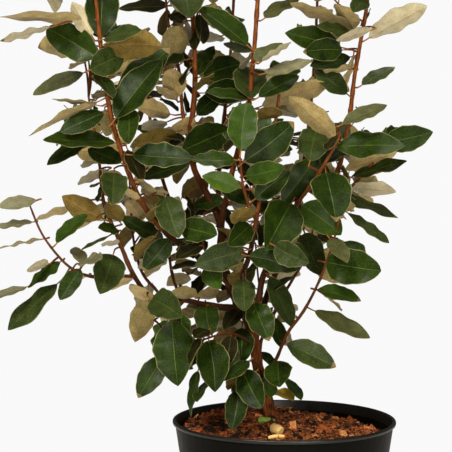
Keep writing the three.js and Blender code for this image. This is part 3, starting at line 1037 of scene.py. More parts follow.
@dataclass
class Bud:
    """A place on a stem from which a leaf or a twig grows."""

    root: Array
    heading: Array  # of the stem
    turn: float  # angle round the stem, in radians
    keys: Keys  # name the draws
    spray: int

    def outwards(self, swing: float) -> Array:
        """Gives the direction that stands out from the stem.

        Args:
            swing: how much further round the stem it lies.

        Returns:
            The direction.
        """
        turn = self.turn + swing
        side = np.cross(self.heading, UP)
        side = unit(side) if np.linalg.norm(side) >= RULE.upright else np.array([1.0, 0.0, 0.0])
        return side * math.cos(turn) + np.cross(side, self.heading) * math.sin(turn)

    def leaf(self, swing: float, length: float, droop: float) -> Leaf:
        """Lays a leaf.

        Args:
            swing: how much further round the stem it stands.
            length: length with the leaf stalk.
            droop: how much it hangs, beyond what its height gives.

        Returns:
            The leaf.
        """
        rise = between(RULE.leaf_rise, *self.keys, 1)
        height = smoothstep(self.root[2], RULE.hang_low, RULE.hang_high)
        hang = RULE.hang * (1 - height) + droop + RULE.hang_draw * (chance(*self.keys, 2) - 0.5)
        along = unit(self.outwards(swing) + self.heading * rise - UP * hang)
        away = unit(np.append((self.root[:2] - RULE.axis) * RULE.facing, 0))
        face = UP * RULE.face_up + away * RULE.face_out
        face = unit(face - along * face.dot(along))
        face = turned(face, along, RULE.face_draw * (chance(*self.keys, 3) - 0.5))
        return Leaf(self.root, along, face, length, length * RULE.leaf_width, self.keys, self.spray)


class Space:
    """What the shrub fills already: bare limbs, leafy stems, and the leaves and twigs laid so far."""

    def __init__(self, room: int = 60000) -> None:
        """Starts with nothing laid.

        Args:
            room: most points that are kept.
        """
        self.taken = np.empty((room, 3))
        self.count = 0
        self.bare: Axis = (np.empty((0, 3)), np.empty(0))
        self.stems: Axis = (np.empty((0, 3)), np.empty(0))
        self.owners = np.empty(0, int)

    def add_bare(self, row: Axis) -> None:
        """Adds a bare limb's axis points and radii."""
        self.bare = tuple(np.concatenate(pair) for pair in zip(self.bare, row))

    def add_stem(self, row: Axis, owner: int) -> None:
        """Adds a leafy stem's axis points and radii, with its mass's number."""
        self.stems = tuple(np.concatenate(pair) for pair in zip(self.stems, row))
        self.owners = np.concatenate([self.owners, np.full(len(row[1]), owner)])

    def take(self, points: Array) -> None:
        """Marks points as filled."""
        self.taken[self.count : self.count + len(points)] = points
        self.count += len(points)

    @staticmethod
    def inside(points: Array) -> bool:
        """Says whether points keep within the reach of the solids."""
        low, high = np.array(CAD_BOX) / MM
        return bool((points >= low - RULE.over_reach).all() and (points <= high + RULE.over_reach).all())

    @staticmethod
    def clear_of(points: Array, row: Axis) -> Array:
        """Gives each point's distance to the bark at each place of a row."""
        return np.linalg.norm(points[:, None] - row[0][None], axis=2) - row[1]

    def free(self, points: Array, owner: int, reach: float, apart: float) -> bool:
        """Says whether points are in a mass's own space and clear of all else.

        Args:
            points: the points.
            owner: the mass's number.
            reach: how far it may spread from its stem.
            apart: least distance to leaves and twigs.

        Returns:
            Whether all are free.
        """
        if points[:, 2].min() < RULE.lowest or not self.inside(points):
            return False
        if self.count:
            gaps = points[:, None] - self.taken[None, : self.count]
            if (np.einsum("ijk,ijk->ij", gaps, gaps) <= apart**2).any():
                return False
        stems = self.clear_of(points, self.stems)
        own = stems[:, self.owners == owner].min(1)
        if own.max() > reach or own.min() < 2:
            return False
        if self.clear_of(points, self.bare).min() < RULE.limb_apart:
            return False
        others = stems[:, self.owners != owner].min(1)
        return bool((others >= np.maximum(RULE.limb_apart, own - RULE.shared)).all())


@dataclass
class LimbPlan:
    """One limb of the shrub, and the foliage on it.

    bare is the length that is a bare bough; the rest is a leafy stem.
    """

    name: str
    route: Sequence[Point]
    thick: Pair
    bare: float = 0.0
    leaf: float = 68.0
    spacing: float = 25.0
    twig: float = 95.0
    twiggy: float = 0.5
    reach: float = 150.0
    droop: float = 0.0
    foot: float = 16.0
    front_leaf: float = -1.0  # least Y of the direction in which a leaf leaves its stem
    set_top: float = 2000.0  # height up to which set leaves hang on it
    screened: bool = False  # whether the leaves before it hide the stem


PLANS: tuple[LimbPlan, ...] = (
    LimbPlan("left", [
        (-41, 9, 347), (-67, 18, 395), (-80, 32, 445), (-81, 38, 480), (-115, 48, 550), (-120, 52, 580),
        (-114, 56, 660), (-118, 52, 767), (-126, 44, 860), (-122, 38, 950)], (11, 3), 212, front_leaf=-0.2),
    LimbPlan("left_front", [
        (-73, 23, 420), (-110, 5, 439), (-148, -25, 470), (-177, -45, 508), (-198, -60, 562),
        (-214, -67, 620), (-230, -72, 753), (-238, -70, 850), (-234, -66, 915)],
        (8, 3), 112, front_leaf=-0.2),
    LimbPlan("centre", [
        (-81, 36, 474), (-74, 30, 509), (-62, 18, 560), (-47, 11, 616), (-40, 4, 678), (-34, -2, 761),
        (-26, -4, 880), (-22, 4, 1035)], (7.5, 3), 60, front_leaf=-0.2, spacing=26, twiggy=0.42),
    LimbPlan("right", [
        (-38, 9, 340), (-31, 30, 385), (-24, 42, 415), (-4, 45, 447), (37, 35, 494), (67, 20, 543),
        (81, 8, 605), (88, 0, 667), (103, -8, 760), (112, -14, 850), (108, -18, 920)],
        (8.5, 3), 158, front_leaf=-0.2),
    LimbPlan("front", [
        (-40, 9, 342), (-49, -12, 387), (-53, -25, 414), (-44, -40, 446), (-36, -54, 491), (-28, -47, 540),
        (-16, -42, 590), (-8, -46, 650), (-6, -56, 705)], (7.5, 3), 150, twig=70, set_top=545),
    LimbPlan("low_left", [
        (-55, 13, 371), (-87, 20, 374), (-108, 24, 377), (-132, 26, 382), (-152, 17, 383), (-171, 0, 390),
        (-190, -16, 418), (-210, -20, 467), (-226, -14, 505), (-233, -8, 560), (-246, -4, 640)],
        (8, 2.6), 172, twig=80),
    LimbPlan("back_right", [
        (-37, 10, 334), (-20, 56, 385), (4, 98, 440), (24, 135, 510), (38, 160, 590), (48, 178, 690),
        (56, 188, 860)], (8, 3), 190, spacing=30, twiggy=0.4),
    LimbPlan("back_centre", [
        (-77, 27, 432), (-80, 72, 466), (-84, 116, 520), (-78, 150, 600), (-68, 170, 700), (-60, 178, 840)],
        (7.5, 3), 128),
    LimbPlan("back_left", [
        (-60, 15, 383), (-88, 62, 404), (-120, 106, 444), (-152, 138, 510), (-174, 158, 590),
        (-190, 168, 740)], (7.5, 3), 125, spacing=29, twiggy=0.4),
    LimbPlan("left_rear", [
        (-119, 51, 573), (-130, 75, 620), (-136, 92, 680), (-150, 104, 740), (-160, 112, 880)], (5, 2.6)),
    LimbPlan("front_young", [
        (-37, -53, 486), (-46, -62, 506), (-53, -72, 530), (-57, -84, 565), (-58, -90, 600)],
        (4, 2.2), twig=48, leaf=58, spacing=15, set_top=575),
    LimbPlan("right_front", [
        (-2, 44, 448), (8, 5, 482), (16, -25, 507), (28, -42, 526), (44, -56, 552), (64, -66, 590),
        (76, -70, 640)], (5.5, 2.4), twig=66, spacing=20, set_top=592),
    LimbPlan("right_side", [
        (33, 36, 489), (60, 34, 505), (88, 26, 528), (114, 16, 560), (130, 10, 615)],
        (5, 2.4), twig=60, spacing=15),
    LimbPlan("far_left", [
        (-188, -15, 415), (-212, -31, 417), (-240, -42, 417), (-264, -50, 428), (-296, -60, 467),
        (-313, -64, 507)], (4.5, 2.2), twig=62, spacing=20, foot=62),
    LimbPlan("low_back_left", [
        (-153, 16, 383), (-165, 38, 394), (-182, 56, 412), (-194, 74, 446), (-202, 86, 540)],
        (4.5, 2.2), twig=70),
    LimbPlan("low_mid_left", [
        (-128, 26, 381), (-140, 46, 400), (-147, 62, 428), (-150, 76, 465), (-146, 84, 510)],
        (4.5, 2.2), twig=55),
    LimbPlan("mid_front_left", [
        (-67, 18, 396), (-84, -14, 418), (-97, -42, 442), (-106, -60, 474)],
        (4.2, 2.2), twig=52, twiggy=0.35, spacing=12, screened=True),
    LimbPlan("mid_front_right", [
        (-47, -35, 437), (-28, -62, 450), (-4, -82, 470), (14, -92, 502)],
        (4.2, 2.2), twig=52, twiggy=0.35, spacing=12, screened=True),
    LimbPlan("inner_back", [
        (-80, 35, 458), (-64, 58, 470), (-44, 80, 496), (-32, 96, 545)], (4.4, 2.2), twig=55, spacing=15),
    LimbPlan("front_low", [
        (-44, -2, 363), (-41, -30, 374), (-33, -54, 386), (-24, -74, 400)],
        (4.2, 2.2), twig=45, twiggy=0.2, spacing=11, droop=0.2, screened=True),
    LimbPlan("low_right", [
        (-28, 11, 280), (-11, -20, 311), (2, -36, 345), (22, -48, 375), (41, -60, 415), (57, -66, 462),
        (64, -68, 492)], (5, 2.4), twig=55, twiggy=0.2, spacing=27, foot=30),
    LimbPlan("low_front", [
        (-35, 10, 316), (-52, -18, 338), (-74, -40, 346), (-104, -58, 340)],
        (4.2, 2.2), twig=45, twiggy=0.2, spacing=11, droop=0.4, screened=True),
    LimbPlan("low_base", [
        (-28, 12, 280), (-32, -14, 300), (-40, -38, 312), (-52, -58, 312)],
        (4, 2.2), twig=40, twiggy=0.2, spacing=11, droop=0.5, screened=True),
    LimbPlan("under_left", [
        (-118, 25, 380), (-126, 0, 382), (-140, -28, 378), (-162, -52, 364)],
        (4, 2.2), twig=45, twiggy=0.2, spacing=12, droop=0.5, screened=True),
    LimbPlan("low_back", [
        (-32, 11, 296), (-28, 50, 322), (-22, 86, 352), (-30, 116, 400), (-34, 130, 450)],
        (4.6, 2.2), twig=62),
    LimbPlan("low_back_right", [
        (-35, 10, 318), (-20, 38, 345), (2, 60, 385), (36, 80, 440), (62, 90, 500), (72, 94, 540)],
        (4.8, 2.2), twig=62),
)


# Leaves as the picture shows them, DEEP for any plain green: foot across and down, tip across and down,
# and breadth, in its pixels, and where it isn't plain, the number of the limb that carries it, or 0, and
# how far behind it the foot lies.
SET_LEAVES: dict[LeafTone, tuple[Row, ...]] = {
    LeafTone.DEEP: (
        (243, 371, 262, 408, 26), (254, 303, 269, 341, 26), (163, 240, 117, 215, 17, 2),
        (337, 147, 405, 146, 26), (182, 226, 217, 235, 24, 2, -8), (235, 160, 191, 160, 17, 0, -8),
        (97, 57, 47, 28, 31, 2, -6), (129, 109, 129, 144, 21), (247, 45, 199, 8, 20),
        (249, 98, 206, 92, 9), (340, 47, 285, 33, 24, 0, 12), (342, 50, 303, 52, 22, 0, -8),
        (115, 143, 43, 140, 15), (86, 141, 47, 165, 14), (121, 163, 88, 149, 17), (60, 262, 28, 288, 14),
        (80, 269, 60, 300, 17), (206, 305, 211, 335, 24), (255, 199, 290, 171, 22),
        (283, 203, 318, 157, 28, 12), (326, 173, 336, 222, 37), (291, 204, 265, 250, 40),
        (249, 256, 300, 269, 22), (292, 277, 276, 290, 10), (277, 361, 280, 387, 27),
        (287, 378, 301, 400, 9), (238, 391, 232, 430, 21), (242, 328, 240, 366, 24),
        (209, 342, 215, 392, 31), (198, 371, 191, 417, 13), (207, 380, 197, 402, 6),
        (172, 320, 178, 386, 39, 24, -15), (163, 356, 138, 398, 24, 24, 25), (326, 262, 381, 271, 34),
        (351, 177, 407, 161, 8, 0, -12), (384, 143, 433, 132, 25), (101, 182, 94, 187, 4),
        (262, 214, 277, 201, 12), (133, 155, 192, 159, 22, 0, -14)),
    LeafTone.DARK: (
        (104, 113, 60, 132, 17), (101, 37, 104, -28, 32), (170, 239, 143, 271, 22),
        (116, 118, 162, 60, 29, 2, -14), (117, 100, 170, 48, 27, 2, 12), (184, 60, 160, 64, 10),
        (205, 93, 250, 92, 24), (197, 75, 214, 46, 18), (197, 115, 221, 93, 18),
        (350, 57, 310, 66, 14, 0, 20), (259, 97, 299, 76, 14), (118, 230, 98, 228, 10),
        (142, 178, 190, 163, 13), (224, 200, 192, 206, 16), (182, 151, 231, 129, 32, 3, -30),
        (245, 161, 294, 122, 32), (284, 137, 305, 131, 7), (284, 141, 299, 146, 5),
        (275, 318, 281, 348, 17), (249, 361, 223, 381, 13), (345, 140, 335, 123, 12),
        (345, 150, 322, 165, 14), (247, 205, 222, 190, 16), (250, 225, 228, 245, 22),
        (364, 24, 370, 10, 5), (261, 352, 271, 367, 12), (180, 140, 163, 133, 9), (203, 76, 241, 64, 25),
        (98, 74, 113, 98, 14)),
    LeafTone.FROSTED: (
        (347, 94, 315, 69, 20), (305, 233, 320, 275, 25), (287, 344, 336, 367, 21), (57, 284, 8, 330, 13),
        (165, 197, 179, 238, 27, 2, -8), (270, 277, 293, 328, 20), (113, 255, 100, 294, 30),
        (348, 213, 389, 243, 7), (362, 85, 395, 67, 12), (104, 39, 141, 31, 12, 2, -8),
        (90, 70, 124, 54, 27, 2, -30), (180, -18, 189, 18, 34), (251, 52, 224, 43, 14),
        (251, 99, 249, 67, 33, 0, -16), (366, 0, 353, 12, 16), (114, 173, 112, 205, 26),
        (108, 236, 82, 250, 4), (152, 299, 182, 317, 28), (244, 251, 195, 265, 27),
        (275, 246, 309, 263, 23), (310, 161, 319, 124, 30, 12, -6), (243, 279, 245, 311, 22),
        (345, 197, 398, 218, 12), (352, 33, 318, 27, 13)),
    LeafTone.DUSTY: (
        (315, 311, 370, 338, 14), (83, 73, 33, 95, 14, 6), (343, 124, 387, 105, 12),
        (330, 239, 347, 263, 17, 0, -10), (265, 18, 300, -2, 12), (257, 62, 282, 43, 15)),
    LeafTone.FRESH: (
        (317, 290, 361, 301, 14), (241, 150, 247, 103, 28, 0, -22), (267, 379, 270, 398, 12),
        (57, 243, 87, 214, 11), (207, 266, 220, 289, 20), (246, 176, 285, 167, 22),
        (303, 205, 341, 235, 30, 12)),
    LeafTone.SHADED: (
        (200, 336, 190, 364, 9), (128, 150, 142, 182, 14), (184, 141, 166, 146, 9, 0, 20),
        (196, 202, 186, 220, 11, 0, 25), (316, 232, 330, 243, 10, 0, 25), (338, 135, 328, 150, 9, 0, 25),
        (200, 15, 203, 44, 12), (195, 76, 184, 52, 14), (103, 182, 99, 201, 5), (186, 112, 185, 92, 8),
        (190, 240, 206, 250, 10), (170, 246, 186, 238, 9), (196, 252, 176, 250, 11),
        (203, 275, 196, 295, 12), (231, 336, 226, 366, 16), (256, 208, 247, 184, 10),
        (259, 246, 258, 218, 9), (241, 259, 226, 270, 10), (254, 262, 252, 282, 11),
        (213, 212, 196, 212, 8), (231, 230, 226, 208, 9), (240, 246, 251, 240, 8),
        (250, 186, 240, 160, 13), (218, 169, 234, 164, 8), (170, 14, 184, 24, 12), (150, 96, 162, 92, 8),
        (196, 98, 187, 84, 9), (189, 198, 191, 216, 9), (168, 6, 118, 9, 15), (208, 330, 194, 338, 12),
        (239, 309, 224, 330, 16), (190, 66, 184, 84, 9), (197, 28, 196, 50, 8), (163, 99, 177, 111, 8),
        (236, 140, 226, 152, 11), (200, 246, 176, 259, 13), (200, 262, 172, 270, 8)),
    LeafTone.SHADED_BACK: (
        (104, 46, 162, 46, 30), (146, 196, 160, 208, 11, 0, 25), (184, 268, 201, 276, 8, 0, 20),
        (102, 218, 62, 196, 22), (206, 180, 182, 198, 20), (345, 183, 344, 166, 6),
        (255, 216, 230, 216, 13), (268, 275, 281, 288, 8), (200, 320, 191, 336, 8),
        (134, 224, 122, 250, 15), (166, 10, 163, 36, 9), (197, 90, 214, 73, 9), (222, 104, 250, 100, 6),
        (245, 104, 232, 118, 10), (170, 256, 186, 258, 9), (196, 262, 182, 268, 7),
        (120, 222, 106, 204, 14), (240, 272, 231, 285, 11), (228, 204, 208, 210, 8),
        (209, 279, 203, 289, 7), (245, 206, 222, 204, 7), (234, 291, 218, 303, 12),
        (178, 268, 196, 262, 10), (176, 132, 130, 147, 16), (155, 236, 136, 262, 14),
        (230, 240, 223, 228, 8), (152, 220, 158, 206, 9), (259, 119, 280, 110, 12),
        (188, 162, 177, 184, 11), (198, 310, 182, 318, 12), (141, 106, 140, 122, 7),
        (243, 374, 228, 390, 13)),
    LeafTone.SILVERED: (
        (266, 73, 312, 61, 11), (36, 200, -2, 207, 11), (32, 222, -6, 228, 7), (26, 287, -8, 300, 8),
        (80, 263, 102, 259, 9), (81, 264, 75, 247, 12)),
    LeafTone.YOUNG: (
        (239, 187, 202, 176, 19),),
    LeafTone.YELLOWED: (
        (276, 391, 293, 401, 13),),
    LeafTone.GOLD_BACK: (
        (353, 56, 347, 84, 4), (262, 106, 328, 84, 13, 0, 20), (83, 20, 0, 17, 14),
        (177, 98, 172, 69, 23, 0, -10), (176, 100, 157, 86, 12), (170, 114, 134, 106, 16),
        (196, 124, 172, 126, 18, 0, -12), (354, 30, 290, 3, 9), (354, 29, 336, 4, 15),
        (349, 69, 324, 70, 8), (335, 139, 289, 96, 19, 4, -40), (97, 102, 29, 136, 13),
        (72, 206, 34, 221, 10), (94, 219, 78, 229, 4), (128, 276, 112, 290, 14), (165, 259, 147, 277, 12),
        (223, 293, 195, 299, 15), (140, 216, 128, 200, 16), (136, 200, 124, 188, 8),
        (143, 194, 168, 192, 8, 0, 25), (300, 225, 290, 237, 5), (345, 170, 397, 152, 12),
        (150, 302, 131, 284, 14), (327, 296, 340, 310, 6)),
    LeafTone.SILVER_BACK: (
        (347, 187, 396, 192, 10), (50, 27, 0, 41, 5), (369, 38, 427, 6, 15), (92, 36, 72, 2, 18),
        (50, -25, 55, 13, 13), (187, 21, 190, 43, 9), (166, 122, 142, 130, 10), (221, 36, 206, 42, 12),
        (249, 56, 242, 70, 6), (371, 30, 336, 40, 9, 4, -16), (262, 61, 291, 42, 5),
        (278, 114, 303, 115, 9), (48, 264, 27, 270, 8), (88, 275, 77, 283, 5), (118, 244, 103, 243, 6),
        (205, 216, 219, 226, 12), (107, 170, 78, 185, 11)),
    LeafTone.OLIVE_BACK: (
        (181, 27, 164, 60, 25), (149, 300, 135, 342, 24), (72, 44, 38, 48, 27, 6, 30),
        (86, 60, 71, 69, 6, 6), (96, 105, 52, 99, 5), (97, 99, 108, 90, 9), (105, 111, 106, 136, 16),
        (101, 160, 83, 168, 6), (43, 239, -3, 249, 4), (188, 275, 167, 286, 14), (196, 297, 172, 291, 12),
        (205, 306, 186, 312, 12), (140, 185, 156, 190, 10), (271, 156, 289, 150, 11)),
}


@dataclass
class View:
    """The picture's camera, in millimetres and pixels."""

    place: Point = (-73.7, -1750.0, 559.1)
    tilt: float = 2.670  # degrees under level
    focus: float = 1387.5
    size: int = 452

    def __post_init__(self) -> None:
        """Sets the camera's directions."""
        tilt = math.radians(self.tilt)
        self.eye = np.array(self.place)
        self.ahead = np.array([0, math.cos(tilt), -math.sin(tilt)])
        self.above = np.array([0, math.sin(tilt), math.cos(tilt)])

    def at(self, spot: Sequence[float], y: float) -> Array:
        """Gives the point that a spot of the picture shows at some Y.

        Args:
            spot: pixels across and down.
            y: the Y.

        Returns:
            The point.
        """
        across, down = (np.array(spot) - 0.5 * self.size) / self.focus
        ray = self.ahead + across * np.array([1.0, 0, 0]) - down * self.above
        return self.eye + ray * (y - self.eye[1]) / ray[1]

    def spots(self, points: Array) -> Array:
        """Gives the spots of the picture that show some points.

        Args:
            points: the points.

        Returns:
            Pixels across and down, a row to each point.
        """
        way = points - self.eye
        depth = way @ self.ahead
        across = 0.5 * self.size + self.focus * way[:, 0] / depth
        return np.stack([across, 0.5 * self.size - self.focus * (way @ self.above) / depth], -1)


@dataclass
class Veil:
    """How near the set leaves stand, over the picture: what lies behind them is hidden."""

    view: View
    clear: float = 4.0
    share: float = 0.8  # of a leaf's points, that must be hidden

    def __post_init__(self) -> None:
        """Starts with an open picture."""
        self.near = np.full((self.view.size, self.view.size), np.inf)

    def add(self, outline: Array, y: float) -> None:
        """Covers what a leaf's outline hides.

        Args:
            outline: points round the leaf.
            y: how far away it is.
        """
        spots = self.view.spots(outline)
        low = np.clip(np.floor(spots.min(0)).astype(int), 0, self.view.size)
        high = np.clip(np.ceil(spots.max(0)).astype(int), 0, self.view.size)
        if (high <= low).any():
            return
        u, v = np.meshgrid(np.arange(low[0], high[0]) + 0.5, np.arange(low[1], high[1]) + 0.5)
        inside = np.zeros(u.shape, bool)
        for (x0, y0), (x1, y1) in zip(spots, np.roll(spots, -1, 0)):
            if y0 != y1:
                inside ^= ((y0 > v) != (y1 > v)) & (u < (x1 - x0) * (v - y0) / (y1 - y0) + x0)
        area = self.near[low[1] : high[1], low[0] : high[0]]
        area[inside] = np.minimum(area[inside], y)

    def hides(self, points: Array) -> bool:
        """Says whether a leaf's points lie out of the picture or behind what is set.

        Args:
            points: the leaf's points.

        Returns:
            Whether it is hidden.
        """
        spots = np.floor(self.view.spots(points)).astype(int)
        seen = ((spots >= 0) & (spots < self.view.size)).all(1)
        if not seen.any():
            return True
        near = self.near[spots[seen, 1], spots[seen, 0]]
        return bool((points[seen, 1] > near + self.clear).mean() >= self.share)


@dataclass
class LeafSetter:
    """Sets leaves on the stems where the picture shows them."""

    view: View
    masses: "list[LeafyMass]"
    stalk: float
    natural: Pair = (46.0, 60.0)
    narrow: float = 0.5  # breadth of a leaf to its blade's length
    front: float = -90.0
    upper_depth: float = 0.05  # pixels that a millimetre further back counts for
    back_depth: float = 0.02
    back_middle: float = 60.0
    before_stem: float = 7.0
    most_forward: float = 70.0
    deepest: float = 0.72  # most that a blade leans to or from the viewer, to its length
    longest: float = 84.0
    least_lean: float = 1.02
    least_width: float = 0.94
    edge_on: float = 0.15  # least share of its breadth that is seen
    level: float = 0.3  # a leaf that rises less than this leans away from the crown's middle
    joint: float = 0.12  # how far before its foot a leaf's stem is looked for, to its length
    crossing: Pair = (0.05, 0.98)  # share of a leaf that a stem may cross
    beside: float = 0.45
    stem_from: float = 6.0  # bare foot of every limb
    stem_step: float = 4.0
    row_step: int = 800  # with first_draw, tells the draws of set leaves apart by their feet
    first_draw: int = 3

    def __post_init__(self) -> None:
        """Gathers points on all limbs."""
        rows, screened = [], []
        for mass in self.masses:
            row = mass.limb.axis(self.stem_from, mass.limb.length, self.stem_step)[0]
            above = row[:, 2] > mass.plan.set_top
            rows.append(row[~above])
            screened.append(row[above | mass.plan.screened])
        self.points = np.vstack(rows)
        self.owner = np.concatenate([np.full(len(row), i) for i, row in enumerate(rows)])
        self.spots = self.view.spots(self.points)
        self.screened = np.vstack(screened)
        self.screened_spots = self.view.spots(self.screened)

    def clear_depth(self, row: Row, y: float) -> float:
        """Gives the depth at which a leaf lies in front of the screened stems that cross it.

        Args:
            row: foot, tip and breadth in the picture.
            y: the depth of its foot.

        Returns:
            The same depth, or a nearer one.
        """
        foot, tip = np.array(row[:2]), np.array(row[2:4])
        axis = tip - foot
        share = (self.screened_spots - foot) @ axis / axis.dot(axis)
        square = np.array([-axis[1], axis[0]])
        aside = np.abs(self.screened_spots @ square - foot @ square)
        crossed = (share > self.crossing[0]) & (share < self.crossing[1])
        crossed &= aside < self.beside * row[4] * np.linalg.norm(axis)
        if not crossed.any():
            return y
        nearer = min(y, float(self.screened[crossed, 1].min()) - self.before_stem)
        return nearer if y - nearer < self.most_forward else y

    def place(self, row: Row, shows: LeafTone) -> tuple["LeafyMass", Leaf]:
        """Sets one leaf.

        Args:
            row: foot, tip and breadth in the picture.
            shows: what is seen of it.

        Returns:
            The mass that carries it, and the leaf.
        """
        foot, tip, breadth = np.array(row[:2]), np.array(row[2:4]), row[4]
        number = int(row[0] + self.row_step * row[1]) + self.first_draw
        from_back = shows in BACKS
        cost = np.linalg.norm(self.spots - (foot - self.joint * (tip - foot)), axis=1)
        if from_back:
            cost = cost + self.back_depth * np.abs(self.points[:, 1] - self.back_middle)
        else:
            cost = cost + self.upper_depth * (self.points[:, 1] - self.front)
        if len(row) > 5 and row[5]:
            cost = np.where(self.owner == row[5] - 1, cost, np.inf)
        best = int(np.argmin(cost))
        carrier = self.points[best]
        y = self.clear_depth(row, float(carrier[1]) + (row[6] if len(row) > 6 else 0))
        base = self.view.at(foot, y)
        pixel = (y - self.view.eye[1]) / self.view.focus
        flat = float(np.linalg.norm(self.view.at(tip, y) - base))
        wide = breadth * pixel
        natural = max(min(wide / self.narrow, self.longest), between(self.natural, number, 60))
        blade = max(self.least_lean * flat, natural)
        lean = min(math.sqrt(blade**2 - flat**2), self.deepest * blade)
        rise = (foot[1] - tip[1]) / max(np.linalg.norm(tip - foot), 1)
        away = -rise if from_back else rise
        if abs(rise) < self.level:
            away = y - RULE.axis[1]
        end = self.view.at(tip, y + math.copysign(lean, away))
        along = unit(end - base)
        blade = float(np.linalg.norm(end - base))
        toward = unit(self.view.eye - base)
        face = unit(toward - along * toward.dot(along)) * (-1 if from_back else 1)
        width = max(wide, self.narrow * blade * self.least_width)
        roll = math.acos(min(max(wide / width, self.edge_on), 1.0))
        face = max((turned(face, along, a) for a in (roll, -roll)), key=lambda f: f[2])
        length = blade / (1 - self.stalk)
        root = base - along * self.stalk * length
        mass = self.masses[self.owner[best]]
        keys = (number, 61)
        return mass, Leaf(root, along, face, length, width, keys, number, shows, carrier, wide / width)


